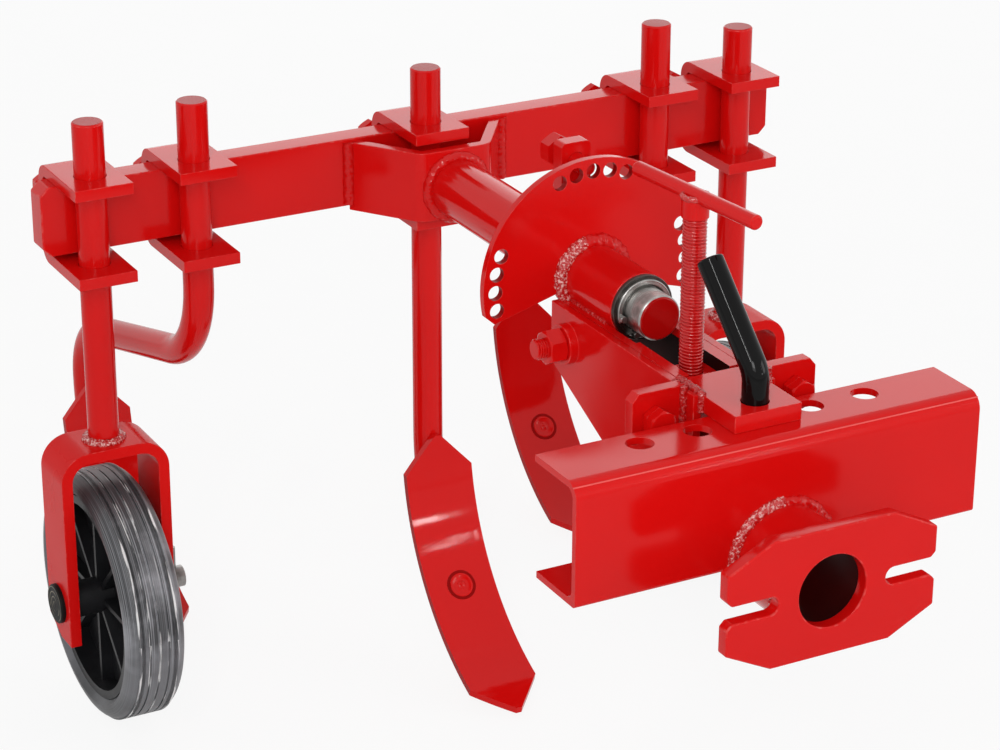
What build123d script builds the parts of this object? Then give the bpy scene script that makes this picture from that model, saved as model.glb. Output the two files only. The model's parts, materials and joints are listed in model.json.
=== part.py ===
"""Tiller ripper: a swivelling tool bar with three curved tines and two depth wheels.

Millimetres, +Z up. The origin is the centre of the hitch flange's bore on its front face;
the implement trails behind it along +Y, and +X is to the right when looking that way.
"""

import os
from math import cos, radians, sin, sqrt, tan

from build123d import *

os.makedirs("parts", exist_ok=True)

# Hitch flange and stub tube
flange_width = 169.0
flange_height = 96.0
flange_top_width = 97.0
flange_side_height = 60.0
flange_thickness = 10.5
flange_bore = 54.0
slot_width = 13.0
slot_depth = 41.0
slot_mouth = 4.0
stub_diameter = 76.0
stub_wall = 8.0
stub_length = 54.5

# Drawbar channel, open to the rear
channel_length = 328.0
channel_height = 91.5
channel_depth = 57.0
channel_foot_depth = 54.0
channel_wall = 5.0
channel_bend = 12.0
channel_foot_bend = 3.0
channel_drop = 4.5

# Hitch pin with its bent handle
pin_diameter = 19.4
pin_clearance = 0.3
pin_setback = 40.0
pin_pitch = 46.0
pin_side_holes = 2
pin_rise = 21.0
pin_bend = 22.0
pin_handle_back = 52.0
pin_handle_side = 8.0
pin_handle_height = 68.0
pin_tail = 16.0
pin_tail_chamfer = 4.0

# Swinging head: cheeks, tongues, ears and stop bolts
head_gap = 54.4
cheek_thickness = 6.5
cheek_front_gap = 9.0
cheek_length = 204.0
cheek_rear_height = 48.0
cheek_slope = 24.5
tongue_thickness = 13.0
tongue_nose = 18.0
tongue_length = 75.0
tongue_gap = 0.2
ear_setback = 12.0
ear_thickness = 10.0
ear_reach = 42.0
ear_rise = 4.0
ear_height = 38.0
ear_clip_x = 5.0
ear_clip_z = 6.0
stop_bolt_diameter = 12.0
stop_bolt_flats = 19.0
stop_bolt_head = 7.0
stop_bolt_reach = 24.0
stop_bolt_tail = 12.0
stop_nut_height = 6.0
stop_bolt_drop = 4.0

# Pitch pivot and adjusting screw
pivot_diameter = 16.0
pivot_flats = 24.0
pivot_head = 10.0
pivot_nut_height = 14.0
pivot_thread_end = 8.5
boss_diameter = 31.0
boss_thickness = 7.0
pivot_inset = 27.0
pivot_depth = 25.0
screw_diameter = 18.0
screw_setback = 59.0
screw_neck_diameter = 20.0
screw_neck_height = 17.0
screw_thread_height = 117.0
tbar_diameter = 11.0
tbar_length = 138.0
tbar_turn = 6.0
foot_diameter = 24.0
foot_height = 9.0
foot_dome = 40.0
seat_thickness = 10.0
seat_length = 44.0
seat_depth = 68.0
nut_block_length = 30.0
nut_block_height = 28.0
nut_block_drop = 10.0

# Carrier: housing tube, index sector and the two inner plates
swivel_height = 15.0
housing_diameter = 50.0
housing_length = 71.5
inner_plate_thickness = 10.0
inner_plate_front = 34.0
inner_plate_front_height = 40.0
inner_plate_rear_height = 45.0
sector_radius = 92.0
sector_thickness = 6.0
sector_lap = 1.5
sector_skirt = 18.5
sector_toe_in = 7.5
sector_toe_drop = 6.7
sector_heel_x = 74.3
sector_heel_drop = 22.7
sector_root_x = 22.5
sector_root_drop = 8.2
index_radius = 82.0
index_hole = 11.6
index_pitch = 10.1
index_side_lift = 4.7
index_top_count = 5
index_side_count = 4

# Swivel shaft and what holds it in the housing
shaft_diameter = 35.0
shaft_nose = 24.7
shaft_grip = 70.0
shaft_chamfer = 2.0
washer_diameter = 50.0
washer_thickness = 4.0
ring_diameter = 45.0
ring_thickness = 2.5
ring_seat_depth = 1.2
ring_opening = 12.0

# Tool frame: rear tube, bent bracket and flat bar
rear_tube_diameter = 48.3
rear_tube_length = 216.2
bracket_height = 58.4
bracket_thickness = 9.0
bracket_bend = 14.0
bracket_depth = 56.0
bracket_nose_width = 62.0
bracket_foot_width = 140.0
bracket_drop = 3.6
bar_length = 668.0
bar_depth = 22.6
bar_height = 57.6
bar_clip = 7.0
bar_drop = 22.6

# Index plunger and its upright guide
guide_width = 25.0
guide_thickness = 13.0
guide_setback = 20.0
guide_crown = 15.0
guide_corner = 4.0
plunger_diameter = 14.0
plunger_tip_length = 8.0
plunger_tail = 10.5
plunger_flats = 22.0
plunger_head = 13.0
plunger_head_chamfer = 1.5

# U-strap clamps on the bar
clamp_width = 48.0
clamp_thickness = 9.4
clamp_bend = 14.0
clamp_nose = 31.2
clamp_back_room = 7.4
clamp_under_room = 5.6
clamp_bolt_diameter = 12.0
clamp_bolt_flats = 19.0
clamp_bolt_head = 8.0
clamp_bolt_stand = 50.0
clamp_nut_height = 10.0

# Round stems
stem_diameter = 25.0
stem_chamfer = 1.2

# Tines: stem bends and curved blades
tine_bend = 80.0
tine_rear_bend = 58.0
tine_elbow_drop = 101.7
tine_setback = 258.7
tine_slope = 14.3
tine_lead = 0.6
tine_splay = 1.3
centre_drop = 205.0
blade_radius = 194.0
blade_thickness = 6.0
blade_width = 62.0
blade_sweep = 76.4
blade_point_length = 31.0
blade_tip_width = 5.0
blade_bolt_angle = 39.0
blade_bolt_diameter = 10.0
blade_bolt_head = 20.0
blade_bolt_sink = 5.0
blade_nut_flats = 17.0
blade_nut_height = 8.0
blade_bolt_tail = 3.0
stem_foot_angle = 9.0

# Depth wheels and their forks
fork_width = 92.0
fork_thickness = 9.4
fork_depth = 48.0
fork_bend = 24.0
fork_crown_drop = 156.0
fork_leg = 168.5
fork_clip_depth = 26.0
fork_clip_height = 12.5
axle_drop = 138.0
axle_diameter = 18.0
axle_cap_diameter = 33.0
axle_cap = 4.0
axle_cap_round = 1.5
axle_tail = 16.0
cotter_diameter = 5.0
cotter_length = 56.0
wheel_diameter = 208.5
tyre_width = 50.0
tyre_shoulder = 13.0
tyre_bead = 5.0
tread_groove = 1.6
tread_groove_depth = 1.2
tread_groove_pitch = 8.0
tread_groove_count = 5
rim_diameter = 172.0
rim_width = 42.0
rim_wall = 7.0
rim_web = 6.0
hub_diameter = 30.0
rib_count = 8
rib_thickness = 4.0
rib_height = 26.0

# Where each clamp sits along the bar and how far each stem stands above it
left_wheel_x = -297.0
left_tine_x = -210.2
centre_tine_x = -5.8
right_tine_x = 211.9
right_wheel_x = 293.3
left_wheel_top = 44.2
left_tine_top = 48.3
centre_tine_top = 45.8
right_tine_top = 53.2
right_wheel_top = 39.3
left_wheel_drop = 0.0
right_wheel_drop = 4.5
tine_stem_top = 48.3

# Fits, as gaps on the radius or between faces
running_fit = 0.05
face_gap = 0.3
stem_fit = 0.2
seat_fit = 0.1
index_fit = 0.1
index_play = 0.3

# Places that follow from the sizes above
web_front = flange_thickness + stub_length
channel_rear = web_front + channel_depth
channel_bottom = -channel_drop
channel_top = channel_bottom + channel_height
pin_y = web_front + pin_setback
pin_hole = pin_diameter + 2 * pin_clearance
tongue_bottom = channel_top + tongue_gap
head_top = tongue_bottom + tongue_thickness
keel_top = channel_bottom - tongue_gap
keel_bottom = keel_top - tongue_thickness
cheek_front = channel_rear + cheek_front_gap
cheek_rear = cheek_front + cheek_length
cheek_heel = head_top - cheek_rear_height
keel_rear = cheek_rear - (cheek_heel - keel_bottom) / tan(radians(cheek_slope))
tongue_front = pin_y - tongue_nose
tongue_rear = tongue_front + tongue_length
cheek_outside = head_gap / 2 + cheek_thickness
ear_front = cheek_front + ear_setback
stop_bolt_x = cheek_outside + stop_bolt_reach
stop_bolt_z = channel_top - stop_bolt_drop
pivot_y = cheek_rear - pivot_inset
pivot_z = head_top - pivot_depth
pivot_hole = pivot_diameter + 2 * running_fit
boss_outside = cheek_outside + boss_thickness
screw_y = cheek_front + screw_setback
seat_top = head_top - seat_depth
foot_bottom = seat_top + face_gap
foot_top = foot_bottom + foot_height
nut_block_top = head_top - nut_block_drop
screw_top = nut_block_top + screw_thread_height
tbar_z = screw_top + screw_neck_height
swivel_z = head_top + swivel_height
inner_outside = head_gap / 2 - face_gap
inner_inside = inner_outside - inner_plate_thickness
inner_front = cheek_front + inner_plate_front
sector_front = cheek_rear - sector_lap
sector_rear = sector_front + sector_thickness
housing_front = sector_front - housing_length
shaft_bore = shaft_diameter + 2 * running_fit
washer_rear = housing_front - face_gap
ring_rear = washer_rear - washer_thickness
shaft_front = ring_rear - shaft_nose
tube_front = sector_rear + face_gap
bracket_front = tube_front + rear_tube_length
bar_front = bracket_front + bracket_depth
bar_rear = bar_front + bar_depth
bar_bottom = swivel_z - bar_drop
bar_top = bar_bottom + bar_height
guide_front = sector_rear + guide_setback
guide_rear = guide_front + guide_thickness
index_z = swivel_z + index_radius
stem_radius = stem_diameter / 2
stem_y = bar_front - stem_radius - stem_fit
clamp_front = stem_y - clamp_nose
clamp_inside = bar_rear + clamp_back_room
clamp_back = clamp_inside + clamp_thickness
clamp_floor = bar_bottom - clamp_under_room
clamp_top = bar_top + clamp_thickness
clamp_bolt_z = (clamp_floor + bar_top) / 2
stem_hole = stem_diameter + 2 * stem_fit
tine_elbow_z = bar_bottom - tine_elbow_drop
tine_leg_z = tine_elbow_z - tine_setback * tan(radians(tine_slope))
side_arc_z = tine_leg_z - tine_rear_bend * tan(radians((90 - tine_slope) / 2)) - tine_lead
centre_arc_z = bar_bottom - centre_drop
stem_arc = blade_radius + blade_thickness + seat_fit + stem_radius
fork_crown = bar_bottom - fork_crown_drop
axle_z = fork_crown - axle_drop
fork_gap = fork_width - 2 * fork_thickness


def across(y, z=0.0):
    """Plane square to the line of travel: its x is X, its y is Z, and minus runs rearwards."""
    return Plane(origin=(0, y, z), x_dir=(1, 0, 0), z_dir=(0, -1, 0))


def save(piece, name):
    """Label a finished piece and write it to its own file."""
    piece.label = name
    export_step(piece, f"parts/{name}.step")


def hex_bolt(plane, diameter, length, flats, head):
    """Hexagon-headed bolt whose head stands on the plane and whose shank goes below it."""
    with BuildPart() as bolt:
        with BuildSketch(plane):
            RegularPolygon(flats / 2, 6, major_radius=False)
        extrude(amount=head)
        with BuildSketch(plane):
            Circle(diameter / 2)
        extrude(amount=-length)
    return bolt.part


def hex_nut(plane, diameter, flats, height):
    """Hexagon nut standing on the plane, bored to clear its bolt."""
    with BuildPart() as nut:
        with BuildSketch(plane):
            RegularPolygon(flats / 2, 6, major_radius=False)
            Circle(diameter / 2 + seat_fit, mode=Mode.SUBTRACT)
        extrude(amount=height)
    return nut.part


# Flange plate: chamfered oblong with a bore and two open bolt slots
with BuildPart() as flange_plate:
    with BuildSketch(across(0)):
        with BuildLine():
            Polyline(
                (flange_top_width / 2, flange_height / 2),
                (flange_width / 2, flange_side_height / 2),
                (flange_width / 2, -flange_side_height / 2),
                (flange_top_width / 2, -flange_height / 2),
                (-flange_top_width / 2, -flange_height / 2),
                (-flange_width / 2, -flange_side_height / 2),
                (-flange_width / 2, flange_side_height / 2),
                (-flange_top_width / 2, flange_height / 2),
                close=True,
            )
        make_face()
        Circle(flange_bore / 2, mode=Mode.SUBTRACT)
        for side in (-1, 1):
            slot_run = slot_depth - slot_width / 2
            with Locations((side * (flange_width - slot_run) / 2, 0)):
                Rectangle(slot_run, slot_width, mode=Mode.SUBTRACT)
            with Locations((side * (flange_width / 2 - slot_run), 0)):
                Circle(slot_width / 2, mode=Mode.SUBTRACT)
            with BuildLine():
                Polyline(
                    (side * flange_width / 2, slot_width / 2 + slot_mouth),
                    (side * (flange_width / 2 - slot_mouth), slot_width / 2),
                    (side * (flange_width / 2 - slot_mouth), -slot_width / 2),
                    (side * flange_width / 2, -slot_width / 2 - slot_mouth),
                    close=True,
                )
            make_face(mode=Mode.SUBTRACT)
    extrude(amount=-flange_thickness)
save(flange_plate.part, "flange_plate")

# Stub tube between the flange and the channel's web
with BuildPart() as stub_tube:
    with BuildSketch(across(flange_thickness)):
        Circle(stub_diameter / 2)
        Circle(stub_diameter / 2 - stub_wall, mode=Mode.SUBTRACT)
    extrude(amount=-stub_length)
save(stub_tube.part, "stub_tube")

# Drawbar channel: bent plate with a row of pin holes through both flanges
with BuildPart() as drawbar_channel:
    with BuildSketch(Plane.YZ):
        with Locations((web_front + channel_depth / 2, (channel_bottom + channel_top) / 2)):
            Rectangle(channel_depth, channel_height)
        fillet(vertices().group_by(Axis.X)[0].sort_by(Axis.Y)[-1], channel_bend)
        fillet(vertices().group_by(Axis.X)[0].sort_by(Axis.Y)[0], channel_foot_bend)
        with Locations((channel_rear, (channel_bottom + channel_top) / 2)):
            hollow = 2 * (channel_depth - channel_wall)
            RectangleRounded(hollow, channel_height - 2 * channel_wall, channel_bend - channel_wall,
                             mode=Mode.SUBTRACT)
        with Locations((channel_rear, channel_bottom)):
            Rectangle(2 * (channel_depth - channel_foot_depth), channel_height, mode=Mode.SUBTRACT)
    extrude(amount=channel_length / 2, both=True)
    with BuildSketch(Plane.XY.offset(channel_bottom)):
        with Locations((0, pin_y)):
            with GridLocations(pin_pitch, 1, 2 * pin_side_holes + 1, 1):
                Circle(pin_hole / 2)
    extrude(amount=channel_height, mode=Mode.SUBTRACT)
save(drawbar_channel.part, "drawbar_channel")

# Hitch pin: straight shank and a handle bent back over the tongue
with BuildPart() as hitch_pin:
    with BuildLine() as pin_path:
        FilletPolyline(
            (0, pin_y, keel_bottom - pin_tail),
            (0, pin_y, head_top + pin_rise),
            (-pin_handle_side, pin_y + pin_handle_back, head_top + pin_rise + pin_handle_height),
            radius=pin_bend,
        )
    with BuildSketch(Plane.XY.offset(keel_bottom - pin_tail)):
        with Locations((0, pin_y)):
            Circle(pin_diameter / 2)
    sweep(path=pin_path.line)
    chamfer(edges().group_by(Axis.Z)[0], pin_tail_chamfer)
    chamfer(faces().sort_by(Axis.Z)[-1].edges(), stem_chamfer)
save(hitch_pin.part, "hitch_pin")

# Head cheeks: side plates with a sloping lower edge and a boss round the pivot
for side, name in ((-1, "head_cheek_left"), (1, "head_cheek_right")):
    with BuildPart() as cheek:
        with BuildSketch(Plane.YZ.offset(side * (head_gap + cheek_thickness) / 2)):
            with BuildLine():
                Polyline(
                    (cheek_front, head_top),
                    (cheek_rear, head_top),
                    (cheek_rear, cheek_heel),
                    (keel_rear, keel_bottom),
                    (cheek_front, keel_bottom),
                    close=True,
                )
            make_face()
            with Locations((pivot_y, pivot_z)):
                Circle(pivot_hole / 2, mode=Mode.SUBTRACT)
        extrude(amount=cheek_thickness / 2, both=True)
        with BuildSketch(Plane.YZ.offset(side * cheek_outside)):
            with Locations((pivot_y, pivot_z)):
                Circle(boss_diameter / 2)
                Circle(pivot_hole / 2, mode=Mode.SUBTRACT)
        extrude(amount=side * boss_thickness)
    save(cheek.part, name)

# Tongues: plates above and below the channel, both drilled for the hitch pin
for name, rear, bottom in (("upper_tongue", tongue_rear, tongue_bottom),
                           ("lower_tongue", keel_rear, keel_bottom)):
    with BuildPart() as tongue:
        with BuildSketch(Plane.XY.offset(bottom)):
            with Locations((0, (tongue_front + rear) / 2)):
                Rectangle(head_gap, rear - tongue_front)
            with Locations((0, pin_y)):
                Circle(pin_hole / 2, mode=Mode.SUBTRACT)
        extrude(amount=tongue_thickness)
    save(tongue.part, name)

# Ears that carry the stop bolts, welded outside the cheeks
with BuildPart() as stop_ears:
    for side in (-1, 1):
        ear_end = cheek_outside + ear_reach
        ear_top = head_top + ear_rise
        with BuildSketch(across(ear_front)):
            with BuildLine():
                Polyline(
                    (side * cheek_outside, ear_top),
                    (side * (ear_end - ear_clip_x), ear_top),
                    (side * ear_end, ear_top - ear_clip_z),
                    (side * ear_end, ear_top - ear_height),
                    (side * cheek_outside, ear_top - ear_height),
                    close=True,
                )
            make_face()
            with Locations((side * stop_bolt_x, stop_bolt_z)):
                Circle(stop_bolt_diameter / 2 + seat_fit, mode=Mode.SUBTRACT)
        extrude(amount=-ear_thickness)
save(stop_ears.part, "stop_ears")

# Stop bolts face the channel's rear edge; thin nuts lock them against the ears
stop_head_y = ear_front - stop_nut_height
with BuildPart() as stop_bolts:
    for side in (-1, 1):
        head_plane = Plane(origin=(side * stop_bolt_x, stop_head_y, stop_bolt_z),
                           x_dir=(1, 0, 0), z_dir=(0, -1, 0))
        shank = stop_nut_height + ear_thickness + stop_bolt_tail
        add(hex_bolt(head_plane, stop_bolt_diameter, shank, stop_bolt_flats, stop_bolt_head))
save(stop_bolts.part, "stop_bolts")

with BuildPart() as stop_lock_nuts:
    for side in (-1, 1):
        nut_plane = Plane(origin=(side * stop_bolt_x, ear_front, stop_bolt_z),
                          x_dir=(1, 0, 0), z_dir=(0, -1, 0))
        add(hex_nut(nut_plane, stop_bolt_diameter, stop_bolt_flats, stop_nut_height))
save(stop_lock_nuts.part, "stop_lock_nuts")

# Seat plate between the cheeks, where the adjusting screw stands
with BuildPart() as screw_seat:
    with BuildSketch(Plane.XY.offset(seat_top)):
        with Locations((0, screw_y)):
            Rectangle(head_gap, seat_length)
    extrude(amount=-seat_thickness)
save(screw_seat.part, "screw_seat")

# Pivot bolt through cheeks and inner plates, with its lock nut on the left
pivot_head_plane = Plane(origin=(boss_outside, pivot_y, pivot_z), x_dir=(0, 1, 0), z_dir=(1, 0, 0))
pivot_nut_plane = Plane(origin=(-boss_outside, pivot_y, pivot_z), x_dir=(0, 1, 0), z_dir=(-1, 0, 0))
pivot_shank = 2 * boss_outside + pivot_nut_height + pivot_thread_end
pivot_bolt = hex_bolt(pivot_head_plane, pivot_diameter, pivot_shank, pivot_flats, pivot_head)
save(pivot_bolt, "pivot_bolt")
pivot_nut = hex_nut(pivot_nut_plane, pivot_diameter, pivot_flats, pivot_nut_height)
save(pivot_nut, "pivot_nut")

# Housing tube that the swivel shaft turns in
with BuildPart() as pivot_housing:
    with BuildSketch(across(housing_front, swivel_z)):
        Circle(housing_diameter / 2)
        Circle(shaft_bore / 2, mode=Mode.SUBTRACT)
    extrude(amount=-housing_length)
save(pivot_housing.part, "pivot_housing")

# Index sector: arched plate with holes along its rim
sector_end_x = sqrt(sector_radius**2 - sector_skirt**2)
with BuildPart() as sector_plate:
    with BuildSketch(across(sector_front, swivel_z)):
        with BuildLine():
            ThreePointArc((sector_end_x, -sector_skirt), (0, sector_radius), (-sector_end_x, -sector_skirt))
            Polyline(
                (-sector_end_x, -sector_skirt),
                (-sector_end_x + sector_toe_in, -sector_skirt - sector_toe_drop),
                (-sector_heel_x, -sector_heel_drop),
                (-sector_root_x, -sector_root_drop),
                (sector_root_x, -sector_root_drop),
                (sector_heel_x, -sector_heel_drop),
                (sector_end_x - sector_toe_in, -sector_skirt - sector_toe_drop),
                (sector_end_x, -sector_skirt),
            )
        make_face()
        Circle(housing_diameter / 2)
        Circle(shaft_bore / 2, mode=Mode.SUBTRACT)
        sides = (index_side_lift, 180 - index_side_lift)
        for middle, count in ((90, index_top_count), *((side, index_side_count) for side in sides)):
            for step in range(count):
                angle = radians(middle + (step - (count - 1) / 2) * index_pitch)
                with Locations((index_radius * cos(angle), index_radius * sin(angle))):
                    Circle(index_hole / 2, mode=Mode.SUBTRACT)
    extrude(amount=-sector_thickness)
save(sector_plate.part, "sector_plate")

# Inner plates under the housing, hung on the pivot bolt
for side, name in ((-1, "carrier_plate_left"), (1, "carrier_plate_right")):
    with BuildPart() as carrier_plate:
        with BuildSketch(Plane.YZ.offset(side * (inner_outside + inner_inside) / 2)):
            with BuildLine():
                Polyline(
                    (inner_front, head_top),
                    (sector_front, head_top),
                    (sector_front, head_top - inner_plate_rear_height),
                    (inner_front, head_top - inner_plate_front_height),
                    close=True,
                )
            make_face()
            with Locations((pivot_y, pivot_z)):
                Circle(pivot_hole / 2, mode=Mode.SUBTRACT)
        extrude(amount=inner_plate_thickness / 2, both=True)
        with BuildSketch(across(housing_front, swivel_z)):
            Circle(housing_diameter / 2 + seat_fit)
        extrude(amount=-housing_length, mode=Mode.SUBTRACT)
        with BuildSketch(across(shaft_front, swivel_z)):
            Circle(washer_diameter / 2 + face_gap)
        extrude(amount=shaft_front - housing_front, mode=Mode.SUBTRACT)
    save(carrier_plate.part, name)

# Nut block between the inner plates
with BuildPart() as screw_nut_block:
    with BuildSketch(Plane.XY.offset(nut_block_top)):
        with Locations((0, screw_y)):
            Rectangle(2 * inner_inside, nut_block_length)
            Circle(screw_diameter / 2 + running_fit, mode=Mode.SUBTRACT)
    extrude(amount=-nut_block_height)
save(screw_nut_block.part, "screw_nut_block")

# Domed foot under the adjusting screw
with BuildPart() as screw_foot:
    foot_axis = Axis((0, screw_y, 0), (0, 0, 1))
    foot_edge = foot_dome - sqrt(foot_dome**2 - (foot_diameter / 2) ** 2)
    with BuildSketch(Plane.YZ):
        with BuildLine():
            dome = RadiusArc((screw_y, foot_bottom), (screw_y + foot_diameter / 2, foot_bottom + foot_edge),
                             -foot_dome)
            Polyline(dome @ 1, (screw_y + foot_diameter / 2, foot_top), (screw_y, foot_top), dome @ 0)
        make_face()
    revolve(axis=foot_axis)
save(screw_foot.part, "screw_foot")

# Adjusting screw with a thicker neck, saddled for the T-bar
tbar_axis = Plane(origin=(0, screw_y, tbar_z), x_dir=(0, 0, 1),
                  z_dir=(sin(radians(tbar_turn)), -cos(radians(tbar_turn)), 0))
with BuildPart() as adjusting_screw:
    with BuildSketch(Plane.XY.offset(foot_top)):
        with Locations((0, screw_y)):
            Circle(screw_diameter / 2)
    extrude(amount=screw_top - foot_top)
    with BuildSketch(Plane.XY.offset(screw_top)):
        with Locations((0, screw_y)):
            Circle(screw_neck_diameter / 2)
    extrude(amount=screw_neck_height)
    with BuildSketch(tbar_axis):
        Circle(tbar_diameter / 2 + seat_fit)
    extrude(amount=tbar_length / 2, both=True, mode=Mode.SUBTRACT)
save(adjusting_screw.part, "adjusting_screw")

with BuildPart() as t_bar:
    with BuildSketch(tbar_axis):
        Circle(tbar_diameter / 2)
    extrude(amount=tbar_length / 2, both=True)
    chamfer(edges(), stem_chamfer)
save(t_bar.part, "t_bar")

# Swivel shaft: chamfered nose and a groove for the retaining ring
with BuildPart() as swivel_shaft:
    with BuildSketch(across(shaft_front, swivel_z)):
        Circle(shaft_diameter / 2)
    extrude(amount=shaft_front - tube_front - shaft_grip)
    chamfer(edges().group_by(Axis.Y)[0], shaft_chamfer)
    with BuildSketch(across(ring_rear, swivel_z)):
        Circle(shaft_diameter / 2)
        Circle(shaft_diameter / 2 - ring_seat_depth, mode=Mode.SUBTRACT)
    extrude(amount=ring_thickness + 2 * seat_fit, mode=Mode.SUBTRACT)
save(swivel_shaft.part, "swivel_shaft")

with BuildPart() as thrust_washer:
    with BuildSketch(across(ring_rear, swivel_z)):
        Circle(washer_diameter / 2)
        Circle(shaft_diameter / 2 + seat_fit, mode=Mode.SUBTRACT)
    extrude(amount=-washer_thickness)
save(thrust_washer.part, "thrust_washer")

# Retaining ring: split at the bottom, seated in the shaft's groove
with BuildPart() as retaining_ring:
    with BuildSketch(across(ring_rear - seat_fit, swivel_z)):
        Circle(ring_diameter / 2)
        Circle(shaft_diameter / 2 - ring_seat_depth + seat_fit, mode=Mode.SUBTRACT)
        with Locations((0, -ring_diameter / 2)):
            Rectangle(ring_opening, ring_diameter / 2, mode=Mode.SUBTRACT)
    extrude(amount=ring_thickness)
save(retaining_ring.part, "retaining_ring")

# Rear tube from the sector to the bracket
with BuildPart() as rear_tube:
    with BuildSketch(across(tube_front, swivel_z)):
        Circle(rear_tube_diameter / 2)
        Circle(shaft_diameter / 2 + seat_fit, mode=Mode.SUBTRACT)
    extrude(amount=-rear_tube_length)
save(rear_tube.part, "rear_tube")

# Bracket: strip bent to a flat nose with two splayed legs
leg_run = (bracket_foot_width - bracket_nose_width) / 2
leg_shift = bracket_thickness * sqrt(leg_run**2 + bracket_depth**2) / bracket_depth
inner_nose = bracket_nose_width / 2 + leg_run * bracket_thickness / bracket_depth - leg_shift
inner_foot = bracket_foot_width / 2 - leg_shift
with BuildPart() as v_bracket:
    with BuildSketch(Plane.XY.offset(bar_bottom - bracket_drop)):
        with BuildLine():
            Polyline(
                (-bracket_foot_width / 2, bar_front),
                (-bracket_nose_width / 2, bracket_front),
                (bracket_nose_width / 2, bracket_front),
                (bracket_foot_width / 2, bar_front),
                close=True,
            )
        make_face()
        fillet(vertices().group_by(Axis.Y)[0], bracket_bend)
        with BuildSketch(mode=Mode.PRIVATE) as bracket_hollow:
            with BuildLine():
                Polyline(
                    (-inner_foot, bar_front),
                    (-inner_nose, bracket_front + bracket_thickness),
                    (inner_nose, bracket_front + bracket_thickness),
                    (inner_foot, bar_front),
                    close=True,
                )
            make_face()
            fillet(vertices().group_by(Axis.Y)[0], bracket_bend - bracket_thickness)
        add(bracket_hollow.sketch, mode=Mode.SUBTRACT)
    extrude(amount=bracket_height)
save(v_bracket.part, "v_bracket")

# Tool bar: flat bar with clipped ends
with BuildPart() as tool_bar:
    with BuildSketch(across(bar_front)):
        with Locations((0, (bar_bottom + bar_top) / 2)):
            Rectangle(bar_length, bar_height)
        chamfer(vertices(), bar_clip)
    extrude(amount=-bar_depth)
save(tool_bar.part, "tool_bar")

# Upright on the rear tube that guides the index plunger
with BuildPart() as index_guide:
    with BuildSketch(across(guide_front)):
        with Locations((0, (swivel_z + index_z + guide_crown) / 2)):
            Rectangle(guide_width, index_z + guide_crown - swivel_z)
        fillet(vertices().group_by(Axis.Y)[-1], guide_corner)
        with Locations((0, swivel_z)):
            Circle(rear_tube_diameter / 2 + seat_fit, mode=Mode.SUBTRACT)
        with Locations((0, index_z)):
            Circle(plunger_diameter / 2 + index_fit, mode=Mode.SUBTRACT)
    extrude(amount=-guide_thickness)
save(index_guide.part, "index_guide")

# Index plunger: stepped pin with a hexagon pull head, drawn clear of the sector
plunger_front = sector_rear + face_gap
plunger_step = plunger_front + plunger_tip_length
plunger_head_y = guide_rear + plunger_tail
with BuildPart() as index_plunger:
    with BuildSketch(across(plunger_front, index_z)):
        Circle(index_hole / 2 - index_play)
    extrude(amount=plunger_front - plunger_step)
    with BuildSketch(across(plunger_step, index_z)):
        Circle(plunger_diameter / 2)
    extrude(amount=plunger_step - plunger_head_y)
    with BuildSketch(across(plunger_head_y, index_z)):
        RegularPolygon(plunger_flats / 2, 6, major_radius=False)
    extrude(amount=-plunger_head)
    chamfer(faces().sort_by(Axis.Y)[-1].edges(), plunger_head_chamfer)
save(index_plunger.part, "index_plunger")


def clamp(x, name):
    """U-strap round the bar with a pressure bolt at its back."""
    with BuildPart() as strap:
        with BuildSketch(Plane.YZ.offset(x)):
            middle = (clamp_floor + bar_top) / 2
            gap = bar_top - clamp_floor
            with Locations(((clamp_front + clamp_back) / 2, middle)):
                Rectangle(clamp_back - clamp_front, gap + 2 * clamp_thickness)
            fillet(vertices().group_by(Axis.X)[-1], clamp_bend)
            with Locations((clamp_front, middle)):
                RectangleRounded(2 * (clamp_inside - clamp_front), gap, clamp_bend - clamp_thickness,
                                 mode=Mode.SUBTRACT)
        extrude(amount=clamp_width / 2, both=True)
        with BuildSketch(Plane.XY.offset(clamp_floor - clamp_thickness)):
            with Locations((x, stem_y)):
                Circle(stem_hole / 2)
        extrude(amount=clamp_top - clamp_floor + clamp_thickness, mode=Mode.SUBTRACT)
        with BuildSketch(across(clamp_inside)):
            with Locations((x, clamp_bolt_z)):
                Circle(clamp_bolt_diameter / 2 + seat_fit)
        extrude(amount=-clamp_thickness, mode=Mode.SUBTRACT)
    save(strap.part, f"{name}_clamp")

    head_plane = Plane(origin=(x, clamp_back + clamp_bolt_stand, clamp_bolt_z), x_dir=(1, 0, 0), z_dir=(0, 1, 0))
    nut_plane = Plane(origin=(x, clamp_back, clamp_bolt_z), x_dir=(1, 0, 0), z_dir=(0, 1, 0))
    shank = clamp_back + clamp_bolt_stand - bar_rear - seat_fit
    with BuildPart() as pressure_bolt:
        add(hex_bolt(head_plane, clamp_bolt_diameter, shank, clamp_bolt_flats, clamp_bolt_head))
        add(hex_nut(nut_plane, clamp_bolt_diameter, clamp_bolt_flats, clamp_nut_height))
    save(pressure_bolt.part, f"{name}_clamp_bolt")


def blade_plane(x, arc_y, arc_z, radius, angle, x_sign):
    """Plane touching the blade's arc at an angle below its top, facing away from the arc's centre."""
    turn = radians(angle)
    origin = (x, arc_y + radius * cos(turn), arc_z - radius * sin(turn))
    return Plane(origin=origin, x_dir=(x_sign, 0, 0), z_dir=(0, cos(turn), -sin(turn)))


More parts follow.
